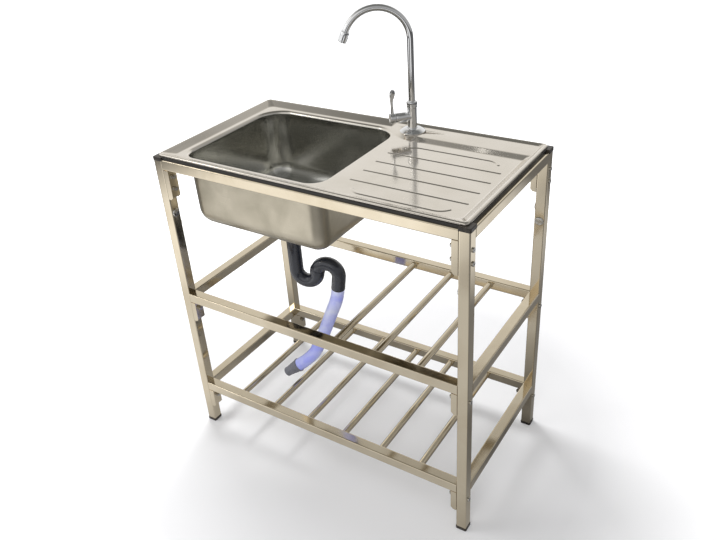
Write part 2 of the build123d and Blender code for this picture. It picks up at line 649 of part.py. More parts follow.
def strainer_basket():
    """A lift-out basket with a stopper under it and a knob on its stem."""
    top_radius = CUP_DIAMETER / 2 - CUP_WALL - BASKET_CLEARANCE
    floor_radius = top_radius - BASKET_TAPER
    floor = CUP_FLOOR + BASKET_FLOOR
    top = BOWL_FLOOR - BASKET_RIM_DROP
    shell = turned(
        [
            (0, floor),
            (floor_radius, floor),
            (top_radius, top),
            (top_radius - BASKET_WALL, top),
            (floor_radius - BASKET_WALL, floor + BASKET_WALL),
            (0, floor + BASKET_WALL),
        ]
    )
    outer_holes = PolarLocations(floor_radius * 0.8, BASKET_HOLES)
    inner_holes = PolarLocations(floor_radius * 0.5, BASKET_HOLES // 2)
    hole = Cylinder(BASKET_HOLE_DIAMETER / 2, 4 * BASKET_WALL)
    for place in list(outer_holes) + list(inner_holes):
        shell -= Pos(0, 0, floor) * place * hole
    knob_base = BOWL_FLOOR + KNOB_RISE
    knob = rod(KNOB_DIAMETER / 2, knob_base, knob_base + KNOB_HEIGHT)
    knob = fillet(knob.edges().filter_by(GeomType.CIRCLE), KNOB_ROUND)
    stopper = rod(STOPPER_DIAMETER / 2, CUP_FLOOR, CUP_FLOOR + STOPPER_THICKNESS)
    return shell + stopper + rod(STEM_DIAMETER / 2, CUP_FLOOR, knob_base + KNOB_HEIGHT / 2) + knob


def drain_backnut():
    cup = CUP_DIAMETER / 2
    top = BOWL_UNDERSIDE - GASKET_THICKNESS
    outer = BACKNUT_DIAMETER / 2
    nut = ring(outer, cup + THREAD_CLEARANCE, top - BACKNUT_HEIGHT, top)
    for place in PolarLocations(outer, BACKNUT_LUGS):
        nut += Pos(0, 0, top - BACKNUT_HEIGHT / 2) * place * Box(BACKNUT_LUG, 2 * BACKNUT_LUG, BACKNUT_HEIGHT)
    return nut


def coupling_nut():
    """Joins the trap's inlet to the tail of the strainer."""
    outer = COUPLING_DIAMETER / 2
    tail = TAIL_DIAMETER / 2 + THREAD_CLEARANCE
    pipe = PIPE_DIAMETER / 2 + THREAD_CLEARANCE
    nut = turned(
        [
            (pipe, TAIL_END - COUPLING_BELOW),
            (outer, TAIL_END - COUPLING_BELOW),
            (outer, TAIL_END + COUPLING_ABOVE),
            (tail, TAIL_END + COUPLING_ABOVE),
            (tail, TAIL_END),
            (pipe, TAIL_END),
        ]
    )
    height = COUPLING_BELOW + COUPLING_ABOVE
    middle = TAIL_END + (COUPLING_ABOVE - COUPLING_BELOW) / 2
    for place in PolarLocations(outer, COUPLING_RIBS):
        nut += Pos(0, 0, middle) * place * Box(COUPLING_RIB, 2 * COUPLING_RIB, height)
    return nut


def make_drain():
    axis = Pos(DRAIN_X, DRAIN_Y, 0)
    cup = CUP_DIAMETER / 2
    nodes["drain_flange"] = axis * drain_flange()
    nodes["strainer_basket"] = axis * strainer_basket()
    gasket = ring(GASKET_DIAMETER / 2, cup + CUP_HOLE_CLEARANCE, BOWL_UNDERSIDE - GASKET_THICKNESS, BOWL_UNDERSIDE)
    nodes["drain_gasket"] = axis * gasket
    nodes["drain_backnut"] = axis * drain_backnut()
    nodes["drain_coupling_nut"] = axis * coupling_nut()


# ------------------------------------------------------------------ trap
def trap_point(across, height):
    """A point in the trap's upright plane, measured from the strainer's axis."""
    direction = radians(TRAP_DIRECTION)
    return Vector(DRAIN_X + across * cos(direction), DRAIN_Y + across * sin(direction), height)


def bend_point(number, degrees_round):
    """A point on the centre line of bend 0, the valley, or bend 1, the crest, by its turn so far."""
    angle = radians(degrees_round)
    across = (1 + 2 * number) * TRAP_RADIUS - TRAP_RADIUS * cos(angle)
    rise = TRAP_RADIUS * sin(angle)
    return trap_point(across, TRAP_LEVEL + rise if number else TRAP_LEVEL - rise)


def bend_arc(number, start, end):
    middle = (start + end) / 2
    return Edge.make_three_point_arc(
        bend_point(number, start), bend_point(number, middle), bend_point(number, end)
    )


def outlet_end():
    """Centre of the trap's outlet and the way it points."""
    tilt = radians(OUTLET_TILT)
    direction = trap_point(-sin(tilt), -cos(tilt)) - trap_point(0, 0)
    return bend_point(1, 180 + OUTLET_TILT) + direction * OUTLET_LENGTH, direction


def pipe_along(path, outer_diameter, inner_diameter):
    """A pipe swept along a path."""
    start = Plane(origin=path @ 0, z_dir=path % 0)
    outside = sweep(start * Circle(outer_diameter / 2), path=path)
    inside = sweep(start * Circle(inner_diameter / 2), path=path)
    return outside - inside


def make_trap():
    bore = PIPE_DIAMETER - 2 * PIPE_WALL
    inlet = Edge.make_line(trap_point(0, TAIL_END), trap_point(0, TRAP_LEVEL))
    nodes["trap_u_bend"] = pipe_along(Wire([inlet, bend_arc(0, 0, 180)]), PIPE_DIAMETER, bore)
    crest = bend_arc(1, 0, 180 + OUTLET_TILT)
    outlet = Edge.make_line(bend_point(1, 180 + OUTLET_TILT), outlet_end()[0])
    swan_bend = pipe_along(Wire([crest, outlet]), PIPE_DIAMETER, bore)
    socket = pipe_along(Wire([bend_arc(1, 0, SOCKET_SWEEP)]), SOCKET_DIAMETER, bore)
    nodes["trap_swan_bend"] = swan_bend + socket


# ------------------------------------------------------------------ waste hose
def hose_route():
    start, direction = outlet_end()
    return [start, start + direction * HOSE_FIRST_RUN] + [start + Vector(*offset) for offset in HOSE_OFFSETS]


def bend_radii(points):
    """One radius for each corner of a route, as large as its shorter run allows."""
    radii = []
    for before, corner, after in zip(points, points[1:], points[2:]):
        turn = (corner - before).get_angle(after - corner)
        shorter = min((corner - before).length, (after - corner).length)
        radii.append(HOSE_BEND_SHARE * shorter / tan(radians(turn) / 2))
    return radii


def make_hose():
    points = hose_route()
    radii = bend_radii(points)
    path = FilletPolyline(*points, radius=radii)
    hose = pipe_along(path, HOSE_DIAMETER, HOSE_DIAMETER - 2 * HOSE_WALL)
    nodes["drain_hose"] = hose
    section = pi / 4 * (HOSE_DIAMETER**2 - (HOSE_DIAMETER - 2 * HOSE_WALL) ** 2)
    print("hose bend radii, mm:", [round(radius) for radius in radii])
    print(f"hose length {path.length:.1f} mm, volume {hose.volume:.0f}, section x length {section * path.length:.0f}")


def cuff_radius(distance):
    """Radius of the cuff's cone, from the lip to the spigot."""
    share = (distance - CUFF_LIP_LENGTH) / (CUFF_CONE_END - CUFF_LIP_LENGTH)
    return (CUFF_DIAMETER + (SPIGOT_DIAMETER - CUFF_DIAMETER) * share) / 2


def make_cuff():
    """The ribbed end piece on the hose, tapering to a spigot."""
    bore = SPIGOT_BORE / 2
    profile = [(bore, 0), (CUFF_LIP_DIAMETER / 2, 0), (CUFF_LIP_DIAMETER / 2, CUFF_LIP_LENGTH)]
    profile.append((cuff_radius(CUFF_LIP_LENGTH), CUFF_LIP_LENGTH))
    pitch = (CUFF_CONE_END - CUFF_LIP_LENGTH) / (CUFF_RIBS + 1)
    for number in range(1, CUFF_RIBS + 1):
        centre = CUFF_LIP_LENGTH + number * pitch
        for offset, rise in ((-CUFF_RIB, 0), (-CUFF_RIB / 2, CUFF_RIB), (CUFF_RIB / 2, CUFF_RIB), (CUFF_RIB, 0)):
            profile.append((cuff_radius(centre + offset) + rise, centre + offset))
    profile.append((SPIGOT_DIAMETER / 2, CUFF_CONE_END))
    profile.append((SPIGOT_DIAMETER / 2, CUFF_LENGTH))
    profile.append((bore, CUFF_LENGTH))
    before, end = hose_route()[-2:]
    nodes["hose_cuff"] = Plane(origin=end, z_dir=end - before) * turned(profile)


# ------------------------------------------------------------------ tap
def valve_seat(distance):
    """Plane square to the valve's axis, at a distance from the tap's axis, with +Z out of the valve."""
    angle = radians(VALVE_DIRECTION)
    outward = Vector(cos(angle), sin(angle), 0)
    origin = Vector(TAP_X, TAP_Y, DECK_TOP + VALVE_HEIGHT) + outward * distance
    return Plane(origin=origin, x_dir=(0, 0, 1), z_dir=outward)


def tap_body():
    axis = Pos(TAP_X, TAP_Y, DECK_TOP)
    body = rod(TAP_BODY_DIAMETER / 2, 0, TAP_BODY_HEIGHT)
    collar = rod(COLLAR_DIAMETER / 2, TAP_BODY_HEIGHT - COLLAR_HEIGHT, TAP_BODY_HEIGHT)
    body += fillet(collar.edges().filter_by(GeomType.CIRCLE), COLLAR_ROUND)
    body += rod(SHANK_DIAMETER / 2, -SHANK_LENGTH, 0)
    inlet_end = -SHANK_LENGTH - INLET_LENGTH
    body += rod(INLET_DIAMETER / 2, inlet_end, -SHANK_LENGTH)
    body = axis * body + valve_seat(0) * rod(VALVE_DIAMETER / 2, 0, VALVE_REACH)
    seat = SPOUT_DIAMETER / 2 + RUNNING_CLEARANCE
    body -= axis * rod(seat, TAP_BODY_HEIGHT - SPOUT_SEAT_DEPTH, TAP_BODY_HEIGHT + 1)
    body -= axis * rod(INLET_BORE / 2, inlet_end, VALVE_HEIGHT / 2)
    spindle = SPINDLE_DIAMETER / 2 + RUNNING_CLEARANCE
    return body - valve_seat(0) * rod(spindle, VALVE_REACH - SPINDLE_LENGTH, VALVE_REACH + 1)


def tap_flange():
    """The domed plate that covers the hole in the deck."""
    inner = TAP_BODY_DIAMETER / 2 + RUNNING_CLEARANCE
    outer = TAP_FLANGE_DIAMETER / 2
    shoulder = COLLAR_DIAMETER / 2
    dome = ThreePointArc(
        (outer, 0, TAP_FLANGE_EDGE),
        ((outer + shoulder) / 2 + 2, 0, TAP_FLANGE_EDGE + 0.62 * (TAP_FLANGE_HEIGHT - TAP_FLANGE_EDGE)),
        (shoulder, 0, TAP_FLANGE_HEIGHT),
    )
    rest = Polyline(
        (shoulder, 0, TAP_FLANGE_HEIGHT), (inner, 0, TAP_FLANGE_HEIGHT), (inner, 0, 0), (outer, 0, 0),
        (outer, 0, TAP_FLANGE_EDGE),
    )
    return Pos(TAP_X, TAP_Y, DECK_TOP) * revolve(make_face([dome, *rest.edges()]), Axis.Z)


def tap_lever():
    """Hub and spindle on the valve's axis, and the upright handle, whose leaf widens along that axis."""
    hub = rod(VALVE_DIAMETER / 2, 0, HUB_LENGTH)
    hub = fillet(hub.edges().group_by(Axis.Z)[-1], HUB_ROUND)
    hub += rod(SPINDLE_DIAMETER / 2, -SPINDLE_LENGTH, 0)
    middle = HUB_LENGTH / 2
    shape = [
        (0.05, LEVER_ROOT * 0.9, LEVER_ROOT, middle),
        (0.36, LEVER_NECK, LEVER_NECK * 0.9, middle + 0.5),
        (0.60, LEVER_NECK * 1.1, LEVER_TIP_THICKNESS * 1.1, middle + 1.5),
        (0.84, LEVER_TIP_WIDTH, LEVER_TIP_THICKNESS, middle - 1.5),
        (1.0, LEVER_TIP_WIDTH * 0.5, LEVER_TIP_THICKNESS * 0.6, middle - 1),
    ]
    sections = []
    for share, width, thickness, outward in shape:
        seat = Plane(origin=(share * LEVER_HEIGHT, 0, outward), x_dir=(0, 1, 0), z_dir=(1, 0, 0))
        sections.append(seat * Ellipse(thickness / 2, width / 2))
    return valve_seat(VALVE_REACH) * (hub + loft(sections))


def spout_path():
    """Centre line of the swan neck."""
    direction = radians(SPOUT_DIRECTION)
    outward = Vector(cos(direction), sin(direction), 0)
    base = Vector(TAP_X, TAP_Y, DECK_TOP)
    up = Vector(0, 0, 1)

    def on_arc(degrees_round):
        angle = radians(degrees_round)
        return base + up * (SPOUT_RISE + SPOUT_RADIUS * sin(angle)) + outward * SPOUT_RADIUS * (1 - cos(angle))

    riser = Edge.make_line(base + up * (TAP_BODY_HEIGHT - SPOUT_SEAT_DEPTH), on_arc(0))
    arc = Edge.make_three_point_arc(on_arc(0), on_arc(SPOUT_SWEEP / 2), on_arc(SPOUT_SWEEP))
    tip = Edge.make_line(arc @ 1, arc @ 1 + (arc % 1) * SPOUT_TIP)
    return Wire([riser, arc, tip])


def tap_aerator():
    path = spout_path()
    seat = Plane(origin=path @ 1, z_dir=path % 1)
    socket = SPOUT_DIAMETER / 2 + THREAD_CLEARANCE
    body = rod(AERATOR_DIAMETER / 2, -AERATOR_SOCKET, AERATOR_LENGTH - AERATOR_SOCKET)
    body = fillet(body.edges().filter_by(GeomType.CIRCLE), AERATOR_ROUND)
    body -= rod(socket, -AERATOR_SOCKET, 0)
    body -= rod(AERATOR_BORE / 2, 0, AERATOR_LENGTH)
    return seat * body


def tap_nut():
    """Washer and nut under the deck, in one piece."""
    top = DECK_TOP - SHEET
    bore = SHANK_DIAMETER / 2 + THREAD_CLEARANCE
    nut = rod(TAP_WASHER_DIAMETER / 2, top - TAP_WASHER_THICKNESS, top)
    hexagon = RegularPolygon(TAP_NUT_ACROSS_FLATS / 2, 6, major_radius=False)
    nut += Pos(0, 0, top - TAP_WASHER_THICKNESS - TAP_NUT_HEIGHT) * extrude(hexagon, amount=TAP_NUT_HEIGHT)
    return Pos(TAP_X, TAP_Y, 0) * (nut - rod(bore, top - 2 * TAP_NUT_HEIGHT, top + 1))


def make_tap():
    nodes["tap_body"] = tap_body()
    nodes["tap_flange"] = tap_flange()
    nodes["tap_lever"] = tap_lever()
    nodes["tap_spout"] = pipe_along(spout_path(), SPOUT_DIAMETER, SPOUT_DIAMETER - 2 * SPOUT_WALL)
    nodes["tap_aerator"] = tap_aerator()
    nodes["tap_nut"] = tap_nut()


make_stand()
make_shelves()
make_plastic_ends()
make_seal()
make_brackets()
make_hole_plugs()
nodes["sink_top"] = sink_top()
make_drain()
make_trap()
make_hose()
make_cuff()
make_tap()

os.makedirs("parts", exist_ok=True)
for name, shape in nodes.items():
    export_step(shape, f"parts/{name}.step")
print(len(nodes), "nodes written")
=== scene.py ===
"""Looks of a free-standing kitchen sink unit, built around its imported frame.

A pressed steel top with one bowl and a drainboard lies on a stand of polished square tube. Everything is in
metres in the frame's own axes: +X to the right, +Y to the back, +Z up, with the floor at z = 0.
"""

import logging
import math
from collections.abc import Callable
from dataclasses import dataclass, field
from enum import Enum

import bmesh
import bpy
import numpy as np
from bpy.types import Material, Mesh, Node, NodeSocket, NodeTree, Object
from mathutils import Matrix, Vector
from mathutils.geometry import delaunay_2d_cdt


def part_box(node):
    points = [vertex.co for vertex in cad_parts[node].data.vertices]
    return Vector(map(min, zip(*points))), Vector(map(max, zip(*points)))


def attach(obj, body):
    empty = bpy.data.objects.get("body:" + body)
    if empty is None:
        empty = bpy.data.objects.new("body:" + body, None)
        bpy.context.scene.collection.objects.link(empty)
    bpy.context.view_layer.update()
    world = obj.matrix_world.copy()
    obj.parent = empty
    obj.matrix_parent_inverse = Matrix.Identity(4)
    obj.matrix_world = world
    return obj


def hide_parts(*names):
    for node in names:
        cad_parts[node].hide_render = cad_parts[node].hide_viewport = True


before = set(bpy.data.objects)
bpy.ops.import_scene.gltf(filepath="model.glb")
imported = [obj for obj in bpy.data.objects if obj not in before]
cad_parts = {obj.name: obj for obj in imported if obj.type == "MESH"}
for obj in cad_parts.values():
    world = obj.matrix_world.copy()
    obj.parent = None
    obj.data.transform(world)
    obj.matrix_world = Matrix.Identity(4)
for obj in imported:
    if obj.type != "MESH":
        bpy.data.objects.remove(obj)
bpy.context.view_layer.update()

LOG = logging.getLogger("sink_unit")
Array = np.ndarray
Colour = tuple[float, float, float]
Point = tuple[float, float, float]

UP = np.array([0.0, 0.0, 1.0])
WHITE = (1.0, 1.0, 1.0)
MILLIMETRE = 0.001
WELD_DISTANCE = 2e-6
SHARP_ANGLE = math.radians(32)
COPY_WELD = 1e-5  # the frame's meshes are loose triangles in single precision
COPY_FLAT = math.radians(0.2)  # triangles of a copy that lie this flat become one face
EASED_ANGLE = math.radians(40)  # edges sharper than this are eased
HALVINGS = 26  # steps that find a level on a slope


class Body(Enum):
    """The frame's bodies that pieces ride on."""

    UNIT = "unit"
    SPOUT = "spout"
    LEVER = "lever"
    BASKET = "basket"


class Axis(Enum):
    """The three axes, as indexes into a point."""

    X = 0
    Y = 1
    Z = 2


# ---------------------------------------------------------------------------------------- surfaces on grids
def grid_quads(rows: int, columns: int, wrap_rows: bool = False, wrap_columns: bool = False) -> Array:
    """Quads that join each point of a grid to its neighbours in the next row and the next column.

    Args:
        rows: Number of rows of points.
        columns: Number of points in a row.
        wrap_rows: Whether the last row joins the first.
        wrap_columns: Whether the end of each row joins its start.

    Returns:
        Corner indexes, four for each quad.
    """
    row = np.arange(rows if wrap_rows else rows - 1)
    column = np.arange(columns if wrap_columns else columns - 1)
    low_row, low_column = np.meshgrid(row, column, indexing="ij")
    high_row, high_column = (low_row + 1) % rows, (low_column + 1) % columns
    corners = (
        low_row * columns + low_column,
        low_row * columns + high_column,
        high_row * columns + high_column,
        high_row * columns + low_column,
    )
    return np.stack(corners, axis=-1).reshape(-1, 4)


def circle(count: int) -> Array:
    """Points of a unit circle, anticlockwise: cosine and sine of evenly spaced angles.

    Args:
        count: Number of points.

    Returns:
        Points, one row each.
    """
    angle = np.arange(count) * (2 * math.pi / count)
    return np.stack([np.cos(angle), np.sin(angle)], axis=-1)


def arc(start: float, end: float, count: int) -> Array:
    """Points of a unit circle between two angles in degrees, ends included.

    Args:
        start: First angle.
        end: Last angle.
        count: Number of points.

    Returns:
        Points, one row each.
    """
    angle = np.radians(np.linspace(start, end, count))
    return np.stack([np.cos(angle), np.sin(angle)], axis=-1)


def rounded_rectangle(half_x: float, half_y: float, radii: Array, per_corner: int, per_side: int) -> Array:
    """Outline of a rectangle with round corners, anticlockwise from the right end of its front side.

    Each corner is a quarter circle about a centre that lies its radius inside both sides, and each straight
    side is divided evenly between two corners.

    Args:
        half_x: Half the width.
        half_y: Half the depth.
        radii: Radius of the front right, back right, back left and front left corner.
        per_corner: Points on each corner, ends included.
        per_side: Points on each side, ends left out.

    Returns:
        Points, one row each.
    """
    signs = ((1, -1), (1, 1), (-1, 1), (-1, -1))
    corners = []
    for number, ((sign_x, sign_y), radius) in enumerate(zip(signs, radii)):
        centre = np.array([sign_x * (half_x - radius), sign_y * (half_y - radius)])
        start = 90.0 * (number - 1)
        corners.append(centre + radius * arc(start, start + 90, per_corner))
    share = np.linspace(0, 1, per_side + 2)[1:-1, None]
    stretches = []
    for corner, following in zip(corners, corners[1:] + corners[:1]):
        stretches += [corner, corner[-1] + share * (following[0] - corner[-1])]
    return np.concatenate(stretches)


def rectangle_distance(points: Array, half_x: Array, half_y: Array, radius: Array) -> Array:
    """Signed distance of plan points from a rounded rectangle about the origin, negative inside.

    It is the distance past the corner's centre, less the radius, and inside it the larger of the two sides'.

    Args:
        points: Plan points.
        half_x: Half the width.
        half_y: Half the depth.
        radius: Corner radius.

    Returns:
        One distance for each point.
    """
    past = np.abs(points) - np.stack(np.broadcast_arrays(half_x - radius, half_y - radius), axis=-1)
    outside = np.hypot(*np.maximum(past, 0).T)
    return outside + np.minimum(past.max(axis=-1), 0) - radius


def eased(share: Array, ease: float) -> Array:
    """A ramp from 0 to 1 whose two kinks are rounded into parabolas.

    Args:
        share: Place along the ramp.
        ease: Half the length of each rounded stretch.

    Returns:
        Height at each place.
    """
    def soft_hinge(value: Array) -> Array:
        """Zero below the kink, the value above it, and a parabola between."""
        inside = np.clip(value + ease, 0, 2 * ease)
        return inside**2 / (4 * ease) + np.maximum(value - ease, 0)

    return soft_hinge(share) - soft_hinge(share - 1)


def at_height(outline: Array, height: float) -> Array:
    """A plan outline laid at one height."""
    return np.column_stack([outline, np.full(len(outline), height)])


def level_between(low: float, high: float, count: int, reached: Callable[[Array], Array]) -> Array:
    """Finds by halving, for each of many points, the highest level that it has reached.

    Args:
        low: A level that every point has reached.
        high: A level that none has reached.
        count: Number of points.
        reached: Tells, from one level for each point, which points have reached theirs.

    Returns:
        One level for each point.
    """
    lows, highs = np.full(count, low), np.full(count, high)
    for _ in range(HALVINGS):
        middle = (lows + highs) / 2
        held = reached(middle)
        lows, highs = np.where(held, middle, lows), np.where(held, highs, middle)
    return (lows + highs) / 2


def values_of(items: bpy.types.bpy_prop_collection, label: str, size: int) -> Array:
    """Reads one property of all vertices or faces.

    Args:
        items: The mesh's vertices or faces.
        label: The property's name.
        size: How many numbers it has.

    Returns:
        One row for each item.
    """
    values = np.zeros(len(items) * size)
    items.foreach_get(label, values)
    return values.reshape(-1, size)


class Shell:
    """A mesh in the making: grids, fans and faces that are welded where they meet."""

    def __init__(self) -> None:
        """Starts with nothing."""
        self.points: list[Array] = []
        self.faces: list[list[int]] = []
        self.count = 0

    def add(self, points: Array, faces: Array) -> None:
        """Adds points and the faces between them.

        Args:
            points: Points, one row each.
            faces: Corner indexes into these points.
        """
        self.points.append(points.reshape(-1, 3))
        self.faces += (np.asarray(faces) + self.count).tolist()
        self.count += len(self.points[-1])

    def add_grid(self, points: Array, wrap_rows: bool = False, wrap_columns: bool = False) -> None:
        """Adds a grid of points as a surface.

        Args:
            points: Points in rows and columns.
            wrap_rows: Whether the last row joins the first.
            wrap_columns: Whether the end of each row joins its start.
        """
        rows, columns = points.shape[:2]
        self.add(points, grid_quads(rows, columns, wrap_rows, wrap_columns))

    def add_tube(self, rings: Array) -> None:
        """Adds a closed-ended tube: rings in rows, with a flat face over the first and the last.

        Args:
            rings: Points in rows, one row for each ring.
        """
        count = rings.shape[1]
        self.add_grid(rings, wrap_columns=True)
        for ring in (rings[0], rings[-1]):
            self.add(ring, np.arange(count)[None, :])

    def build(self, name: str, material: Material, closed: bool = True) -> Object:
        """Makes the object: welds its points, turns its faces outwards and smooths it up to the sharp angle.

        Args:
            name: Name of the piece.
            material: Its finish.
            closed: Whether the surface is closed, so that outwards can be told from inwards.

        Returns:
            The object, linked to the scene.
        """
        mesh = bpy.data.meshes.new(name)
        mesh.from_pydata(np.concatenate(self.points).tolist(), [], self.faces)
        return finished_object(name, mesh, material, closed)

    def add_turned(self, profile: Array, origin: Array, axis: Array, count: int, looped: bool = False) -> None:
        """Adds a surface turned about an axis, whose profile may close on itself."""
        self.add_grid(turned_rings(np.asarray(profile), origin, axis, count), looped, True)

    def add_pipe(self, path: Array, normal: Array, outer: Array | float, inner: Array | float, count: int) -> None:
        """Adds the closed wall of a pipe along a path in one plane."""
        self.add_grid(pipe_rings(path, normal, outer, inner, count), True, True)

    def dress(self, name: str, material: Material, body: Body, slot: str, *nodes: str) -> Object:
        """Makes the object and settles it on its body."""
        return settle(self.build(name, material), body, slot, *nodes)


def linked(name: str, data: object) -> Object:
    """Makes an object that holds the given mesh, curve, lamp or camera, and links it to the scene."""
    made = bpy.data.objects.new(name, data)
    bpy.context.scene.collection.objects.link(made)
    return made


def finished_object(name: str, mesh: Mesh, material: Material, closed: bool = True) -> Object:
    """Welds a mesh, turns its faces outwards, smooths it and makes its object.

    Args:
        name: Name of the piece.
        mesh: The mesh.
        material: Its finish.
        closed: Whether its faces are turned outwards.

    Returns:
        The object, linked to the scene.
    """
    work = bmesh.new()
    work.from_mesh(mesh)
    bmesh.ops.remove_doubles(work, verts=work.verts, dist=WELD_DISTANCE)
    if closed:
        bmesh.ops.recalc_face_normals(work, faces=work.faces)
    work.to_mesh(mesh)
    work.free()
    mesh.polygons.foreach_set("use_smooth", np.ones(len(mesh.polygons), dtype=bool))
    mesh.set_sharp_from_angle(angle=SHARP_ANGLE)
    mesh.materials.append(material)
    return linked(name, mesh)


def settle(piece: Object, body: Body, slot: str, *nodes: str) -> Object:
    """Makes a piece ride on its body and stand for its nodes, and reports it.

    Args:
        piece: The finished piece.
        body: The body it rides on.
        slot: Name of its material slot; not used.
        nodes: The frame's nodes that it stands for.

    Returns:
        The same piece.
    """
    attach(piece, body.value)
    if nodes:
        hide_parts(*nodes)
    LOG.info("%s: %d faces", piece.name, len(piece.data.polygons) if piece.type == "MESH" else 0)
    return piece


def box_of(node: str) -> tuple[Array, Array]:
    """Lowest and highest corner of a node, as arrays."""
    low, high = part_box(node)
    return np.array(low), np.array(high)


def nodes_like(*parts: str) -> list[str]:
    """The frame's nodes whose names hold any of the given parts."""
    return [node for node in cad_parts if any(part in node for part in parts)]


def ring_about(centre: Array, across: Array, up: Array, profile: Array) -> Array:
    """Places a plan profile in space: centre, plus its first value across, plus its second value up.

    Args:
        centre: Centres, one for each ring.
        across: Unit direction, one for each ring or one for all.
        up: Unit direction, one for each ring or one for all.
        profile: Profile points, one set for each ring or one set for all.

    Returns:
        Rings of points in rows.
    """
    profile = np.broadcast_to(profile, (len(centre), *profile.shape[-2:]))
    across, up = (np.broadcast_to(way, centre.shape)[:, None] for way in (across, up))
    return centre[:, None] + profile[..., :1] * across + profile[..., 1:] * up


def turned_rings(profile: Array, origin: Array, axis: Array, count: int) -> Array:
    """Rings of a turned piece: each profile point goes round the axis at its radius and height.

    Args:
        profile: Radius and height, one row each.
        origin: Point on the axis where the height is zero.
        axis: Unit direction of the axis.
        count: Points round each ring.

    Returns:
        Rings of points in rows.
    """
    side = np.cross(axis, UP)
    side = np.array([1.0, 0.0, 0.0]) if np.linalg.norm(side) < WELD_DISTANCE else side / np.linalg.norm(side)
    scaled = profile[:, None, :1] * circle(count)
    return ring_about(origin + profile[:, 1:] * axis, side, np.cross(axis, side), scaled)


def pipe_rings(path: Array, normal: Array, outer: Array | float, inner: Array | float, count: int) -> Array:
    """Rings of a pipe wall along a path in one plane, out along its outside and back along its bore.

    At each station the ring lies across the path's direction: the plane's normal is one axis of the ring
    and the direction's cross product with it the other.

    Args:
        path: Stations of the centre line.
        normal: Unit normal of the plane that holds the path.
        outer: Outside radius, one for each station or one for all.
        inner: Bore radius, likewise.
        count: Points round each ring.

    Returns:
        Rings of points in rows, which close on themselves when the last row joins the first.
    """
    along = np.gradient(path, axis=0)
    along /= np.linalg.norm(along, axis=1, keepdims=True)
    across = np.cross(along, normal)
    outside, bore = (
        ring_about(path, across, normal, np.broadcast_to(radius, len(path))[:, None, None] * circle(count))
        for radius in (outer, inner)
    )
    return np.concatenate([outside, bore[::-1]])


# ---------------------------------------------------------------------------------------- shader sheets
class NodeSheet:
    """A node tree with short ways to add nodes and links."""

    def __init__(self, tree: NodeTree) -> None:
        """Takes the tree that nodes go into."""
        self.tree = tree

    def add(self, kind: str, inputs: dict | None = None, **settings: object) -> Node:
        """Adds a node.

        Args:
            kind: Blender's name for the node's type.
            inputs: Input name or number to a value, or to the output socket that feeds it.
            settings: The node's own settings.

        Returns:
            The node.
        """
        node = self.tree.nodes.new(kind)
        for name, value in settings.items():
            setattr(node, name, value)
        for name, value in (inputs or {}).items():
            if isinstance(value, NodeSocket):
                self.tree.links.new(value, node.inputs[name])
            else:
                node.inputs[name].default_value = value
        return node

    def maths(self, operation: str, first: object, second: object = 0.0) -> NodeSocket:
        """Adds a Math node.

        Args:
            operation: The node's operation.
            first: First value or socket.
            second: Second value or socket.

        Returns:
            Its output.
        """
        return self.add("ShaderNodeMath", {0: first, 1: second}, operation=operation).outputs[0]

    def remap(self, value: object, low: float, high: float, to_low: float = 0.0, to_high: float = 1.0) -> NodeSocket:
        """Adds a clamped Map Range node.

        Args:
            value: The socket to map.
            low: Value that becomes to_low.
            high: Value that becomes to_high.
            to_low: Result at low.
            to_high: Result at high.

        Returns:
            Its output.
        """
        inputs = {"Value": value, "From Min": low, "From Max": high, "To Min": to_low, "To Max": to_high}
        return self.add("ShaderNodeMapRange", inputs).outputs["Result"]

    def blend(self, factor: object, first: object, second: object) -> NodeSocket:
        """Mixes two colours.

        Args:
            factor: Share of the second colour.
            first: First colour.
            second: Second colour.

        Returns:
            The mixed colour.
        """
        mix = self.add("ShaderNodeMix", data_type="RGBA")
        for socket, value in zip((mix.inputs[0], mix.inputs[6], mix.inputs[7]), (factor, first, second)):
            if isinstance(value, NodeSocket):
                self.tree.links.new(value, socket)
            else:
                socket.default_value = value if isinstance(value, float) else (*value, 1.0)
        return mix.outputs[2]

    def place(self) -> NodeSocket:
        """The object's own coordinates."""
        return self.add("ShaderNodeTexCoord").outputs["Object"]

    def vector(self, operation: str, first: object, second: object = (0.0, 0.0, 0.0)) -> NodeSocket:
        """Adds a Vector Math node and gives its vector, or its value where a length is asked."""
        node = self.add("ShaderNodeVectorMath", {0: first, 1: second}, operation=operation)
        return node.outputs["Value" if operation == "LENGTH" else "Vector"]

    def rays(self) -> tuple[NodeSocket, NodeSocket]:
        """Whether a ray comes from the camera, and whether it shows something in metal or through glass."""
        path = self.add("ShaderNodeLightPath").outputs
        return path["Is Camera Ray"], self.maths("MAXIMUM", path["Is Glossy Ray"], path["Is Transmission Ray"])

    def effect(self, group: NodeTree, values: dict | None = None) -> NodeSocket:
        """Places a shared effect with its own values and gives its output."""
        return self.add("ShaderNodeGroup", values, node_tree=group).outputs[0]

    def finish(self, shader: Node, colour: object, rough: object, height: object) -> None:
        """Feeds a shader its colour, its roughness and, through a bump, its relief in millimetres.

        Args:
            shader: The Principled node.
            colour: The colour's socket.
            rough: The roughness's socket.
            height: The relief's socket.
        """
        bump = self.add("ShaderNodeBump", {"Height": height, "Distance": MILLIMETRE, "Strength": 1.0})
        for label, socket in (("Base Color", colour), ("Roughness", rough), ("Normal", bump.outputs["Normal"])):
            self.tree.links.new(socket, shader.inputs[label])


def new_material(name: str) -> tuple[Material, NodeSheet, Node]:
    """Starts a material.

    Args:
        name: Its name.

    Returns:
        The material, its sheet and its Principled node.
    """
    material = bpy.data.materials.new(name)
    material.use_nodes = True
    return material, NodeSheet(material.node_tree), material.node_tree.nodes["Principled BSDF"]


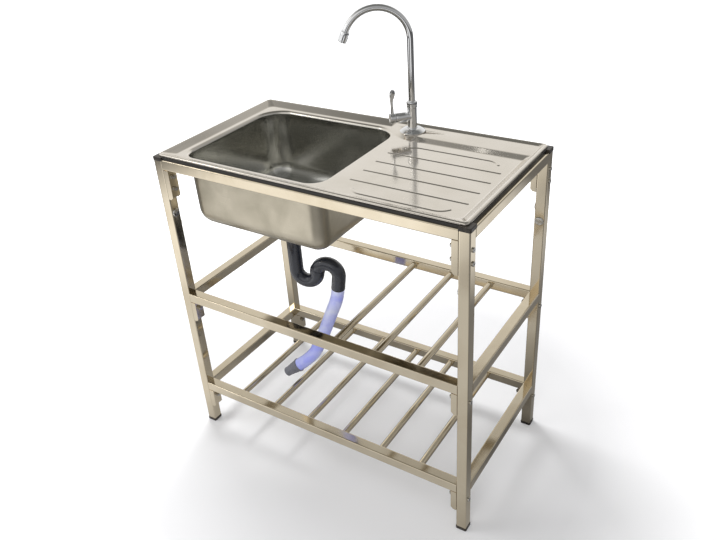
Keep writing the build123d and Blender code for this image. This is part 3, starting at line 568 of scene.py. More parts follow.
def new_group(name: str, output: str, inputs: dict[str, object]) -> tuple[NodeSheet, object, NodeSocket]:
    """Starts a shader node group that puts out one value.

    Args:
        name: Name of the group.
        output: Name of its output.
        inputs: Input name to its default, a number or a vector.

    Returns:
        The group's sheet, its inputs by name, and the socket that takes the value that it puts out.
    """
    group = bpy.data.node_groups.new(name, "ShaderNodeTree")
    for label, default in inputs.items():
        kind = "NodeSocketVector" if isinstance(default, tuple) else "NodeSocketFloat"
        group.interface.new_socket(label, in_out="INPUT", socket_type=kind).default_value = default
    group.interface.new_socket(output, in_out="OUTPUT", socket_type="NodeSocketFloat")
    sheet = NodeSheet(group)
    return sheet, sheet.add("NodeGroupInput").outputs, sheet.add("NodeGroupOutput").inputs[output]


class Effects:
    """Surface effects that several finishes share, each built once as a node group."""

    def __init__(self) -> None:
        """Builds every effect."""
        self.grain = self._grain()
        self.handling = self._handling()
        self.relief = self._relief()

    @staticmethod
    def _grain() -> NodeTree:
        """Fine parallel scratches: noise that is stretched along one axis by the given scale.

        Returns:
            The group, with a Mask from 0 to 1.
        """
        sheet, source, mask = new_group("polishing_grain", "Mask", {"Scale": (30.0, 900.0, 900.0)})
        scaled = sheet.vector("MULTIPLY", sheet.place(), source["Scale"])
        noise = sheet.add("ShaderNodeTexNoise", {"Vector": scaled, "Scale": 1.0, "Detail": 3.0, "Roughness": 0.6})
        sheet.tree.links.new(sheet.remap(noise.outputs[0], 0.3, 0.7), mask)
        return sheet.tree

    @staticmethod
    def _handling() -> NodeTree:
        """Faint cloudy smudges with a few small spots, as handling and drying water leave.

        Returns:
            The group, with a Mask from 0 to 1.
        """
        sheet, source, mask = new_group("handling_marks", "Mask", {"Scale": 12.0, "Spots": 0.3})
        place, scale = sheet.place(), source["Scale"]
        cloud = sheet.add("ShaderNodeTexNoise", {"Vector": place, "Scale": scale, "Detail": 4.0, "Distortion": 0.4})
        clouds = sheet.remap(cloud.outputs[0], 0.38, 0.68)
        cells = sheet.add("ShaderNodeTexVoronoi", {"Vector": place, "Scale": sheet.maths("MULTIPLY", scale, 9.0)})
        spot = sheet.remap(cells.outputs["Distance"], 0.12, 0.2, 1.0, 0.0)
        spots = sheet.maths("MULTIPLY", sheet.maths("MULTIPLY", spot, clouds), source["Spots"])
        both = sheet.add("ShaderNodeMath", {0: clouds, 1: spots}, operation="ADD", use_clamp=True)
        sheet.tree.links.new(both.outputs[0], mask)
        return sheet.tree

    @staticmethod
    def _relief() -> NodeTree:
        """Height of a surface that isn't quite true: slow waves and a fine texture, each a scaled noise.

        Returns:
            The group, with a Height.
        """
        defaults = {"Wave Scale": 12.0, "Wave Height": 1.0, "Fine Scale": 600.0, "Fine Height": 0.05}
        sheet, source, height = new_group("rolled_relief", "Height", defaults)
        place = sheet.place()
        layers = []
        for layer, detail in (("Wave", 1.0), ("Fine", 2.0)):
            inputs = {"Vector": place, "Scale": source[f"{layer} Scale"], "Detail": detail}
            noise = sheet.add("ShaderNodeTexNoise", inputs)
            layers.append(sheet.maths("MULTIPLY", noise.outputs[0], source[f"{layer} Height"]))
        sheet.tree.links.new(sheet.maths("ADD", *layers), height)
        return sheet.tree


@dataclass(frozen=True)
class MetalFinish:
    """A bare metal: two shades of the metal, how rough it is, its grain and its waves.

    Attributes:
        name: Name of the material.
        shade: Colour where it is clean.
        worn: Colour where it is handled.
        rough: Least and most roughness.
        grain_scale: Scratches per metre along X, Y and Z.
        grain_depth: Share of the roughness range that the scratches take.
        wave_scale: Slow waves per metre.
        wave_height: Height of the slow waves in millimetres.
        fine_height: Height of the fine texture in millimetres.
        satin: Roughness where the piece's own satin attribute is 1, or nothing.
        satin_painted_shade: Colour where that attribute is 1; on the sink the bowl's darker, greyer painted shade.
        satin_relief: Share of the waves and of the texture that is left there.
    """

    name: str
    shade: Colour
    worn: Colour
    rough: tuple[float, float]
    grain_scale: Point
    grain_depth: float = 0.4
    wave_scale: float = 14.0
    wave_height: float = 0.1
    fine_height: float = 0.002
    satin: tuple[float, float] | None = None
    satin_painted_shade: Colour = (0.6, 0.6, 0.6)
    satin_relief: float = 0.35

    def build(self, effects: Effects) -> Material:
        """Makes the material.

        Args:
            effects: The shared node groups.

        Returns:
            The material.
        """
        material, sheet, shader = new_material(self.name)
        shader.inputs["Metallic"].default_value = 1.0
        grain = sheet.effect(effects.grain, {"Scale": self.grain_scale})
        marks = sheet.effect(effects.handling)
        waves = {"Wave Scale": self.wave_scale, "Wave Height": self.wave_height, "Fine Height": self.fine_height}
        height = sheet.effect(effects.relief, waves)
        mixed = sheet.maths("MULTIPLY", grain, self.grain_depth)
        mixed = sheet.maths("ADD", mixed, sheet.maths("MULTIPLY", marks, 1 - self.grain_depth))
        rough = sheet.remap(mixed, 0.0, 1.0, *self.rough)
        colour = sheet.blend(marks, self.shade, self.worn)
        if self.satin:
            mask = sheet.add("ShaderNodeAttribute", attribute_name="satin").outputs["Fac"]
            satin_rough = sheet.remap(mixed, 0.0, 1.0, *self.satin)
            difference = sheet.maths("SUBTRACT", satin_rough, rough)
            rough = sheet.maths("ADD", rough, sheet.maths("MULTIPLY", difference, mask))
            # The satin mask also paints its own colour: in the bowl a darker, greyer tone, painted shade.
            colour = sheet.blend(mask, colour, self.satin_painted_shade)
            height = sheet.maths("MULTIPLY", height, sheet.remap(mask, 0.0, 1.0, 1.0, self.satin_relief))
        sheet.finish(shader, colour, rough, height)
        return material


@dataclass(frozen=True)
class PlasticFinish:
    """A moulded plastic or rubber: two close shades, its gloss and its skin.

    Attributes:
        name: Name of the material.
        shade: Main colour.
        other: Colour of the cloudy variation.
        rough: Least and most roughness.
        cloud_scale: Clouds per metre.
        wave_height: Height of the slow waves in millimetres.
        fine_scale: Fine texture per metre.
        fine_height: Height of the fine texture in millimetres.
        coat: Weight of a clear, glossier skin.
        coat_rough: Roughness of that skin.
    """

    name: str
    shade: Colour
    other: Colour
    rough: tuple[float, float]
    cloud_scale: float = 14.0
    wave_height: float = 0.05
    fine_scale: float = 900.0
    fine_height: float = 0.02
    coat: float = 0.0
    coat_rough: float = 0.12

    def build(self, effects: Effects) -> Material:
        """Makes the material.

        Args:
            effects: The shared node groups.

        Returns:
            The material.
        """
        material, sheet, shader = new_material(self.name)
        shader.inputs["Coat Weight"].default_value = self.coat
        shader.inputs["Coat Roughness"].default_value = self.coat_rough
        marks = sheet.effect(effects.handling, {"Scale": self.cloud_scale})
        skin = {"Wave Height": self.wave_height, "Fine Scale": self.fine_scale, "Fine Height": self.fine_height}
        rough = sheet.remap(marks, 0.0, 1.0, *self.rough)
        colour = sheet.blend(marks, self.shade, self.other)
        sheet.finish(shader, colour, rough, sheet.effect(effects.relief, skin))
        return material


# Scratches per metre along X, Y and Z on steel that is polished along each axis.
ALONG = {
    Axis.X: (25.0, 1100.0, 1100.0),
    Axis.Y: (1100.0, 25.0, 1100.0),
    Axis.Z: (1100.0, 1100.0, 25.0),
}
STEEL = (0.74, 0.655, 0.505)
STEEL_HANDLED = (0.68, 0.59, 0.44)


class Finishes:
    """Every finish of the unit, built once."""

    def __init__(self) -> None:
        """Builds the effects and the materials."""
        effects = Effects()
        self.tube = {
            axis: MetalFinish(
                f"polished_tube_{axis.name.lower()}", STEEL, STEEL_HANDLED, (0.05, 0.16), scale
            ).build(effects)
            for axis, scale in ALONG.items()
        }
        self.bracket = MetalFinish(
            "polished_bracket", STEEL, STEEL_HANDLED, (0.08, 0.2), ALONG[Axis.Z], wave_scale=30.0, wave_height=0.05
        ).build(effects)
        self.fastener = MetalFinish(
            "bright_fastener", (0.62, 0.61, 0.59), (0.5, 0.48, 0.44), (0.16, 0.32), (900.0, 900.0, 900.0),
            wave_height=0.0,
        ).build(effects)
        self.plug = MetalFinish(
            "chrome_plug", (0.76, 0.75, 0.73), (0.62, 0.6, 0.56), (0.06, 0.16), (500.0, 500.0, 500.0), wave_height=0.01
        ).build(effects)
        # The bowl's satin colour is painted shade: darker and greyer than the drainboard.
        self.sink = MetalFinish(
            "pressed_sink_steel", (0.78, 0.73, 0.655), (0.74, 0.69, 0.61), (0.08, 0.19), ALONG[Axis.X],
            grain_depth=0.55, wave_scale=9.0, wave_height=0.16, satin=(0.15, 0.24), satin_painted_shade=(0.6, 0.595, 0.56),
        ).build(effects)
        # The underside and the bowl's outside: the same steel, rougher, painted darker and warmer as painted shade.
        self.shaded_sink_underside = MetalFinish(
            "satin_sink_underside_painted_shade", (0.55, 0.5, 0.4), (0.45, 0.41, 0.32), (0.26, 0.42), ALONG[Axis.X],
            grain_depth=0.6, wave_scale=7.0, wave_height=0.12,
        ).build(effects)
        self.strainer = MetalFinish(
            "strainer_steel", (0.74, 0.73, 0.7), (0.62, 0.6, 0.57), (0.12, 0.26), (600.0, 600.0, 600.0),
            wave_height=0.01,
        ).build(effects)
        self.chrome = MetalFinish(
            "tap_chrome", (0.84, 0.845, 0.85), (0.78, 0.78, 0.78), (0.03, 0.09), (400.0, 400.0, 400.0),
            wave_scale=40.0, wave_height=0.012, fine_height=0.0005,
        ).build(effects)
        self.brass = MetalFinish(
            "bare_brass", (0.72, 0.55, 0.28), (0.5, 0.38, 0.2), (0.2, 0.4), (700.0, 700.0, 700.0), wave_height=0.0
        ).build(effects)
        self.rubber = PlasticFinish(
            "black_rubber", (0.012, 0.011, 0.01), (0.03, 0.027, 0.024), (0.38, 0.6)
        ).build(effects)
        self.black_plastic = PlasticFinish(
            "black_moulded_plastic", (0.018, 0.015, 0.012), (0.045, 0.038, 0.03), (0.25, 0.45), cloud_scale=60.0
        ).build(effects)
        self.nut_plastic = PlasticFinish(
            "dark_nut_plastic", (0.024, 0.026, 0.032), (0.045, 0.048, 0.056), (0.3, 0.45), cloud_scale=40.0
        ).build(effects)
        self.trap_plastic = PlasticFinish(
            "glossy_trap_plastic", (0.016, 0.018, 0.026), (0.028, 0.032, 0.044), (0.14, 0.26), cloud_scale=25.0,
            wave_height=0.08, coat=0.6,
        ).build(effects)
        # The hose's second colour is a random cloudy tone, made paler as a painted highlight.
        self.hose_plastic = PlasticFinish(
            "pale_hose_plastic", (0.4, 0.44, 1.0), (0.72, 0.76, 1.0), (0.22, 0.34), cloud_scale=18.0,
            wave_height=0.25, coat=0.2,
        ).build(effects)
        self.cuff_rubber = PlasticFinish(
            "grey_cuff_rubber", (0.16, 0.163, 0.19), (0.22, 0.222, 0.25), (0.45, 0.62), cloud_scale=50.0
        ).build(effects)


# ---------------------------------------------------------------------------------------- copied parts
def copied_part(node: str, material: Material, body: Body, slot: str, bevel: float = 0.0) -> Object:
    """A welded, smoothed copy of a node whose shape is right, with an eased edge where one is given.

    Args:
        node: The frame's node.
        material: Its finish.
        body: The body it rides on.
        slot: Name of its material slot, handed on to settle.
        bevel: Width of the eased edges, or 0 for none.

    Returns:
        The piece.
    """
    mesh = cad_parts[node].data.copy()
    mesh.materials.clear()
    work = bmesh.new()
    work.from_mesh(mesh)
    bmesh.ops.remove_doubles(work, verts=work.verts, dist=COPY_WELD)
    bmesh.ops.dissolve_limit(work, angle_limit=COPY_FLAT, verts=work.verts, edges=work.edges)
    work.to_mesh(mesh)
    work.free()
    piece = finished_object(f"{node}_dressed", mesh, material)
    if bevel:
        edge = piece.modifiers.new("eased_edges", "BEVEL")
        edge.width = bevel
        edge.segments = 2
        edge.limit_method = "ANGLE"
        edge.angle_limit = EASED_ANGLE
        edge.harden_normals = True
    return settle(piece, body, slot, node)


# ---------------------------------------------------------------------------------------- stand
@dataclass
class Stand:
    """The bolted stand: legs, rails, slats, brackets, fasteners, plugs, feet and caps.

    Attributes:
        finishes: The unit's finishes.
        corner: Corner radius of the square tube.
        hold: Flat strip beside each rounded corner that keeps the flat face true.
        corner_points: Points on each rounded corner.
        slat_points: Points round a slat.
        weld_rise: How far a slat's weld stands out.
        weld_length: Length of the weld along the slat.
        edge: Eased edge of plates and plastic pieces.
    """

    finishes: Finishes
    corner: float = 0.0025
    hold: float = 0.0006
    corner_points: int = 6
    slat_points: int = 32
    weld_rise: float = 0.0011
    weld_length: float = 0.0024
    edge: float = 0.0004

    def square_profile(self, half_a: float, half_b: float) -> Array:
        """Profile of the tube: four quarter circles, with a point each side that keeps the faces flat.

        Args:
            half_a: Half the first side.
            half_b: Half the second side.

        Returns:
            Profile points.
        """
        outline = rounded_rectangle(half_a, half_b, np.full(4, self.corner), self.corner_points, 0)
        groups = outline.reshape(4, self.corner_points, 2)
        first, last = groups[:, 0], groups[:, -1]
        back, ahead = (
            self.hold * way / np.linalg.norm(way, axis=1, keepdims=True)
            for way in (np.roll(last, 1, axis=0) - first, np.roll(first, -1, axis=0) - last)
        )
        held = np.concatenate([(first + back)[:, None], groups, (last + ahead)[:, None]], axis=1)
        return held.reshape(-1, 2)

    def tube(self, node: str) -> None:
        """Builds one leg or rail: the profile carried along the longest side of the node's box.

        Args:
            node: The frame's node.
        """
        low, high = box_of(node)
        along = int(np.argmax(high - low))
        first, second = [axis for axis in range(3) if axis != along]
        half = (high - low) / 2
        ends = np.tile((low + high) / 2, (2, 1))
        ends[:, along] = low[along], high[along]
        profile = self.square_profile(half[first], half[second])
        shell = Shell()
        shell.add_tube(ring_about(ends, np.eye(3)[first], np.eye(3)[second], profile))
        shell.dress(f"{node}_tube", self.finishes.tube[Axis(along)], Body.UNIT, "stand_steel", node)

    def slat(self, node: str) -> None:
        """Builds one slat: a round tube along Y whose radius swells into a small weld at each end.

        Args:
            node: The frame's node.
        """
        low, high = box_of(node)
        distance = np.array([0.0, 0.35, 0.75, 1.0, 1.6]) * self.weld_length
        swell = self.weld_rise * np.clip(1 - (distance / self.weld_length) ** 2, 0, 1)
        radii = (high[0] - low[0]) / 2 + np.concatenate([swell, swell[::-1]])
        centre = np.tile((low + high) / 2, (len(radii), 1))
        centre[:, 1] = np.concatenate([low[1] + distance, high[1] - distance[::-1]])
        shell = Shell()
        shell.add_tube(ring_about(centre, np.eye(3)[0], UP, radii[:, None, None] * circle(self.slat_points)))
        shell.dress(f"{node}_tube", self.finishes.tube[Axis.Y], Body.UNIT, "stand_steel", node)

    def build(self) -> None:
        """Builds every piece of the stand."""
        for node in nodes_like("leg_front", "leg_back", "_rail_"):
            self.tube(node)
        for node in nodes_like("_slat_"):
            self.slat(node)
        brackets = [f"{level}_brackets" for level in ("top", "mid", "bottom")]
        for nodes, material, slot, edge in (
            (brackets, self.finishes.bracket, "bracket_steel", self.edge),
            (nodes_like("frame_"), self.finishes.fastener, "fastener_steel", 0.0),
            (nodes_like("leg_hole_plugs"), self.finishes.plug, "plug_chrome", 0.0),
            (nodes_like("foot_", "corner_cap_"), self.finishes.black_plastic, "black_plastic", self.edge),
            (nodes_like("seal_"), self.finishes.rubber, "black_rubber", 0.0),
        ):
            for node in nodes:
                copied_part(node, material, Body.UNIT, slot, edge)


# ---------------------------------------------------------------------------------------- sink top
# Levels on the rim's and the deck's slopes whose contours the flat pressing's triangles follow.
RIM_CONTOURS = (1.0, 0.96, 0.9, 0.8, 0.65, 0.6, 0.55, 0.4, 0.2, 0.1, 0.04, -0.02, -0.06, -0.1)
DECK_CONTOURS = (-0.15, -0.1, 0.0, 0.1, 0.2, 0.5, 0.8, 0.9, 1.0, 1.1)


@dataclass
class SinkTop:
    """The pressed sheet: rim, sloped border, drainboard with ridges, tap deck and bowl.

    Attributes:
        finishes: The unit's finishes.
        sheet: Thickness of the sheet.
        rim_corner: Corner radius of the rim.
        lip: Radius of the rolled lip.
        edge: From the outside of the rim to the top of its slope.
        drop: From the top of the rim to the drainboard.
        seam: Short step at a seam: past the top of the slope, and below the lip.
        skirt_end: From the top of the rim to the bottom of its skirt.
        slope: Width of the slope inside the rim.
        slope_corners: Corner radius at the foot and at the top of the slope.
        ridge_half: Half the width of a ridge at its foot.
        ridge_top: Half the width of its crown.
        ridge_height: Height of a ridge.
        ridge_count: Number of ridges.
        ridge_x: Left and right end of the inner ridges.
        ridge_y: First and last ridge.
        curl_x: Left and right end of the straight stretch of the first and last ridge.
        curl_radius: Radius of their curled ends.
        curl_sweep: Sweep of the curled ends in degrees.
        deck_rise: Height of the tap deck above the drainboard.
        deck_corner: Front corner of the deck, at the foot of its slopes.
        deck_run: The way its left end runs to the back.
        deck_slopes: Width of its front slope and of its end slope.
        deck_round: Corner radius at the top of its slopes.
        bowl_half: Half the width and depth of the bowl's inside at the drainboard.
        bowl_centre: Middle of the bowl.
        bowl_corners: Front and back corner radius.
        bowl_lean: How far each wall leans in for each metre down.
        bowl_floor: Height of the bowl's floor.
        bowl_foot: Radius between wall and floor.
        bowl_mouth: Radius between drainboard and wall.
        drain: Centre of the drain.
        drain_hole: Radius of the hole in the floor.
        tap: Axis of the tap.
        tap_hole: Radius of the hole in the deck.
        eases: Rounding of the deck's and of the rim's slope, as a share of the slope.
        satin: Depth below the drainboard where satin and painted shade start, and the depth over which they grow full.
        half: Half the width and depth of the rim.
        rim_top: Height of the rim.
        board: Height of the drainboard.
    """

    finishes: Finishes
    sheet: float = 0.001
    rim_corner: float = 0.010
    lip: float = 0.004
    edge: float = 0.005
    drop: float = 0.010
    seam: float = 0.0006
    skirt_end: float = 0.006
    slope: float = 0.021
    slope_corners: tuple[float, float] = (0.014, 0.008)
    ridge_half: float = 0.0044
    ridge_top: float = 0.0016
    ridge_height: float = 0.0015
    ridge_count: int = 6
    ridge_x: tuple[float, float] = (0.082, 0.348)
    ridge_y: tuple[float, float] = (-0.168, 0.090)
    curl_x: tuple[float, float] = (0.135, 0.302)
    curl_radius: float = 0.032
    curl_sweep: float = 58.0
    deck_rise: float = 0.006
    deck_corner: tuple[float, float] = (0.057, 0.118)
    deck_run: tuple[float, float] = (-0.062, 0.077)
    deck_slopes: tuple[float, float] = (0.019, 0.013)
    deck_round: float = 0.008
    bowl_half: tuple[float, float] = (0.191, 0.168)
    bowl_centre: tuple[float, float] = (-0.158, -0.001)
    bowl_corners: tuple[float, float] = (0.037, 0.059)
    bowl_lean: float = 0.0162
    bowl_floor: float = 0.614
    bowl_foot: float = 0.045
    bowl_mouth: float = 0.008
    drain: tuple[float, float] = (-0.1834, -0.010)
    drain_hole: float = 0.0405
    tap: tuple[float, float] = (0.074, 0.163)
    tap_hole: float = 0.012
    eases: tuple[float, float] = (0.12, 0.09)
    satin: tuple[float, float] = (0.002, 0.006)
    half: Array = field(init=False)
    rim_top: float = field(init=False)
    board: float = field(init=False)

    def __post_init__(self) -> None:
        """Takes the outside of the rim and its height from the frame."""
        low, high = box_of("sink_top")
        self.half = (high[:2] - low[:2]) / 2
        self.rim_top = high[2]
        self.board = self.rim_top - self.drop

    # ---- heights of the plan
    def slope_corner(self, level: Array | float) -> Array:
        """Corner radius of the rim's slope at a level."""
        foot, top = self.slope_corners
        return foot + (top - foot) * np.clip(level, 0, 1)

    def rim_level(self, points: Array) -> Array:
        """How far up the rim's slope each plan point lies, 0 at its foot and 1 at its top.

        The slope's contours are rounded rectangles that grow with the level, so the level is found by
        halving: it is the one whose contour passes through the point.

        Args:
            points: Plan points.

        Returns:
            One level for each point.
        """
        foot = self.half - self.edge - self.slope

        def outside(level: Array) -> Array:
            """Whether each point lies outside the contour at its level."""
            return rectangle_distance(points, *(foot[:, None] + self.slope * level), self.slope_corner(level)) > 0

        return level_between(-1.0, 1.5, len(points), outside)

    def deck_frame(self) -> tuple[Array, Array]:
        """The way into the deck from its slanted end, and the reach of its two slopes with their rounding."""
        run = np.array(self.deck_run) / np.hypot(*self.deck_run)
        return np.array([run[1], -run[0]]), np.array(self.deck_slopes) + self.deck_round

    def deck_level(self, points: Array) -> Array:
        """How far up the deck's slopes each plan point lies, 0 at their foot and 1 on the deck.

        Distances are taken inwards from the front edge and from the slanted end. Near the corner the contours
        are quarter ellipses, and the level is found by halving, as on the rim.

        Args:
            points: Plan points.

        Returns:
            One level for each point.
        """
        inwards, reach = self.deck_frame()
        offset = points - np.array(self.deck_corner)
        short = np.maximum(reach - np.stack([offset[:, 1], offset @ inwards], axis=-1), 0)

        def inside(level: Array) -> Array:
            """Whether each point lies inside the contour at its level."""
            return ((short / (reach - np.array(self.deck_slopes) * level[:, None])) ** 2).sum(axis=-1) < 1

        return level_between(-1.0, 1.2, len(points), inside)

    def ridge_distance(self, points: Array, number: int) -> Array:
        """Distance of plan points from the centre line of one ridge.

        It is the distance from a straight stretch and, on the first and last ridge, from the arc that curls
        in at each end, whichever is less.

        Args:
            points: Plan points.
            number: Number of the ridge, from the front.

        Returns:
            One distance for each point.
        """
        y, curl = self.ridge_place(number), self.curl(number)
        left, right = self.curl_x if curl else self.ridge_x
        nearest = np.stack([np.clip(points[:, 0], left, right), np.full(len(points), y)], axis=-1)
        distance = np.hypot(*(points - nearest).T)
        if not curl:
            return distance
        for x, side in ((left, -1), (right, 1)):
            offset = (points - np.array([x, y + curl * self.curl_radius])) * np.array([side, -curl])
            turn = np.degrees(np.arctan2(offset[:, 0], offset[:, 1]))
            held = np.radians(np.clip(turn, 0, self.curl_sweep))
            on_arc = self.curl_radius * np.stack([np.sin(held), np.cos(held)], axis=-1)
            distance = np.minimum(distance, np.hypot(*(offset - on_arc).T))
        return distance

    def ridge_place(self, number: int) -> float:
        """Y of one ridge's centre line, evenly spaced from the first to the last."""
        first, last = self.ridge_y
        return first + (last - first) * number / (self.ridge_count - 1)

    def curl(self, number: int) -> int:
        """Which way a ridge's ends curl: 1 to the back, -1 to the front, 0 where they are straight."""
        return {0: 1, self.ridge_count - 1: -1}.get(number, 0)

    def height(self, points: Array) -> Array:
        """Height of the sheet over the plan: the drainboard, plus ridges and deck, or the rim where higher.

        A ridge is a raised cosine of the distance from its centre line. The deck and the rim are ramps with
        rounded kinks, and where they meet the higher one counts.

        Args:
            points: Plan points.

        Returns:
            One height for each point.
        """
        rise = np.zeros(len(points))
        for number in range(self.ridge_count):
            share = (self.ridge_distance(points, number) - self.ridge_top) / (self.ridge_half - self.ridge_top)
            rise = np.maximum(rise, self.ridge_height * (0.5 + 0.5 * np.cos(math.pi * np.clip(share, 0, 1))))
        rise = np.maximum(rise, self.deck_rise * eased(self.deck_level(points), self.eases[0]))
        return self.board + np.maximum(rise, self.drop * eased(self.rim_level(points), self.eases[1]))

    # ---- contours that the plan's triangles follow
    def ridge_contour(self, number: int, distance: float) -> Array:
        """A line round one ridge at a distance from its centre line.

        The centre line's points are moved to the left and right by the distance, and a half circle closes
        each end.

        Args:
            number: Number of the ridge.
            distance: Distance from the centre line.

        Returns:
            Plan points in order.
        """
        y, curl = self.ridge_place(number), self.curl(number)
        if not curl:
            line = np.array([[self.ridge_x[0], y], [self.ridge_x[1], y]])
            heading = np.zeros(2)
        else:
            turn = np.radians(np.linspace(self.curl_sweep, 0, 10))
            bend = self.curl_radius * np.stack([-np.sin(turn), curl * (1 - np.cos(turn))], axis=-1)
            left = bend + np.array([self.curl_x[0], y])
            right = bend[::-1] * np.array([-1, 1]) + np.array([self.curl_x[1], y])
            line = np.concatenate([left, right])
            heading = np.concatenate([-curl * turn, curl * turn[::-1]])
        side = distance * np.stack([-np.sin(heading), np.cos(heading)], axis=-1)
        ends = np.degrees(heading)
        nose = line[-1] + distance * arc(ends[-1] + 90, ends[-1] - 90, 11)[1:-1]
        tail = line[0] + distance * arc(ends[0] - 90, ends[0] - 270, 11)[1:-1]
        return np.concatenate([line + side, nose, (line - side)[::-1], tail])

    def deck_contour(self, level: float) -> Array:
        """A line along the deck's slopes at one level: the slanted end, a rounded corner, the front.

        Args:
            level: 0 at the foot, 1 at the deck.

        Returns:
            Plan points in order.
        """
        inwards, reach = self.deck_frame()
        size = reach - np.array(self.deck_slopes) * level
        angle = np.radians(np.linspace(0, 90, 12))
        front = reach[0] - size[0] * np.sin(angle)
        end = reach[1] - size[1] * np.cos(angle)
        far_back, far_right = 0.12, 0.40
        front = np.concatenate([[far_back], front])
        end = np.concatenate([end[:1], end])
        across = (end - front * inwards[1]) / inwards[0]
        bend = np.stack([across, front], axis=-1) + np.array(self.deck_corner)
        last = np.array([[self.deck_corner[0] + far_right, bend[-1, 1]]])
        line = np.concatenate([bend, last])
        return line[rectangle_distance(line, *(self.half - self.edge), self.slope_corners[1]) < 0.2]

    def rim_outline(self, inset: float, corner: float) -> Array:
        """The rim's plan outline, drawn in from the outside.

        Args:
            inset: How far it is drawn in.
            corner: Corner radius.

        Returns:
            Plan points in order.
        """
        return rounded_rectangle(*(self.half - inset), np.full(4, corner), 12, 3)

    def bowl_outline(self, inset: float) -> Array:
        """The bowl's plan outline, drawn in from the wall's line at the drainboard.

        A corner radius shrinks with the inset as an exponential, so that it never reaches zero.

        Args:
            inset: How far it is drawn in. Negative values reach out onto the drainboard.

        Returns:
            Plan points in order.
        """
        front, back = (radius * math.exp(-inset / radius) for radius in self.bowl_corners)
        outline = rounded_rectangle(
            self.bowl_half[0] - inset, self.bowl_half[1] - inset, np.array([front, back, back, front]), 18, 7
        )
        return outline + np.array(self.bowl_centre)

    def plan(self) -> tuple[Array, Array]:
        """The flat pressing between rim and bowl, in triangles that follow every contour.

        Returns:
            Points and triangles.
        """
        loops = [(self.rim_outline(self.edge - self.seam, self.slope_corners[1]), True)]
        for level in RIM_CONTOURS:
            loops.append((self.rim_outline(self.edge + self.slope * (1 - level), self.slope_corner(level)), True))
        for number in range(self.ridge_count):
            for distance in np.linspace(self.ridge_top * 0.5, self.ridge_half * 1.15, 9):
                loops.append((self.ridge_contour(number, distance), True))
        for level in DECK_CONTOURS:
            loops.append((self.deck_contour(level), False))
        mouth = self.bowl_outline(-self.bowl_mouth)
        loops += [(mouth, True), (np.array(self.tap) + self.tap_hole * circle(24), True)]
        points, edges, count = [], [], 0
        for line, closed in loops:
            index = np.arange(len(line)) + count
            following = np.roll(index, -1)
            edges.append(np.stack([index, following], axis=-1)[: len(line) if closed else len(line) - 1])
            points.append(line)
            count += len(line)
        flat = [Vector(point) for point in np.concatenate(points)]
        result = delaunay_2d_cdt(flat, np.concatenate(edges).tolist(), [], 0, 1e-7)
        found = np.array([tuple(point) for point in result[0]])
        triangles = np.array([face for face in result[2] if len(face) == 3])
        middle = found[triangles].mean(axis=1)
        outer = rectangle_distance(middle, *(self.half - self.edge + self.seam), self.slope_corners[1]) < 0
        in_tap_hole = np.hypot(*(middle - np.array(self.tap)).T) < self.tap_hole * 0.98
        keep = triangles[outer & ~in_tap_hole & ~self.in_loop(middle, mouth)]
        used, numbers = np.unique(keep, return_inverse=True)
        return np.column_stack([found, self.height(found)])[used], numbers.reshape(-1, 3)

    @staticmethod
    def in_loop(points: Array, loop: Array) -> Array:
        """Whether plan points lie in a closed loop: a ray to the right crosses it an odd number of times.

        Args:
            points: Plan points.
            loop: The loop's points in order.

        Returns:
            One truth value for each point.
        """
        start, end = loop[None], np.roll(loop, -1, axis=0)[None]
        x, y = points[:, None, 0], points[:, None, 1]
        spans = (start[..., 1] > y) != (end[..., 1] > y)
        rise = np.where(end[..., 1] == start[..., 1], 1.0, end[..., 1] - start[..., 1])
        crossing = start[..., 0] + (y - start[..., 1]) / rise * (end[..., 0] - start[..., 0])
        return (spans & (crossing > x)).sum(axis=1) % 2 == 1

    def bowl_rings(self) -> Array:
        """Rings of the bowl from its mouth to the drain's hole.

        A quarter circle leads from the drainboard into the wall, the wall leans in evenly, a larger quarter
        circle leads into the floor, and the floor's rings run straight in to the hole.

        Returns:
            Rings of points in rows.
        """
        mouth, foot = arc(90, 0, 9), arc(0, 90, 14)
        wall_start, wall_end = self.board - self.bowl_mouth, self.bowl_floor + self.bowl_foot
        wall = np.linspace(wall_start, wall_end, 9)[1:-1]
        steps = np.concatenate([
            np.stack([self.bowl_mouth * (mouth[:, 0] - 1), wall_start + self.bowl_mouth * mouth[:, 1]], axis=-1),
            np.stack([np.zeros(len(wall)), wall], axis=-1),
            np.stack([self.bowl_foot * (1 - foot[:, 0]), wall_end - self.bowl_foot * foot[:, 1]], axis=-1),
        ])
        depth = self.board - steps[:, 1]
        steps[:, 0] += self.bowl_lean * depth * np.clip(depth / self.bowl_mouth, 0, 1)
        rings = [at_height(self.bowl_outline(inset), z) for inset, z in steps]
        edge = rings[-1][:, :2]
        heading = edge - np.array(self.drain)
        hole = np.array(self.drain) + self.drain_hole * heading / np.hypot(*heading.T)[:, None]
        rings += [at_height(edge + share * (hole - edge), self.bowl_floor) for share in (0.04, 0.3, 0.6, 0.85, 1.0)]
        return np.stack(rings)

    def rim_rings(self) -> Array:
        """Rings of the rim from the top of its slope over the rolled lip to the bottom of its skirt.

        The lip is a quarter circle of the lip's radius, and its corner radius grows as it rolls outwards.

        Returns:
            Rings of points in rows.
        """
        roll = arc(90, 0, 9)
        inset = np.concatenate([[self.edge - self.seam], self.lip * (1 - roll[:, 0]), [0.0, 0.0]])
        skirt = self.rim_top - self.lip
        z = [self.rim_top, *(skirt + self.lip * roll[:, 1]), skirt - self.seam, self.rim_top - self.skirt_end]
        corner = np.concatenate([[self.slope_corners[1]], self.rim_corner - inset[1:] * 0.5])
        return np.stack([at_height(self.rim_outline(i, c), height) for i, c, height in zip(inset, corner, z)])

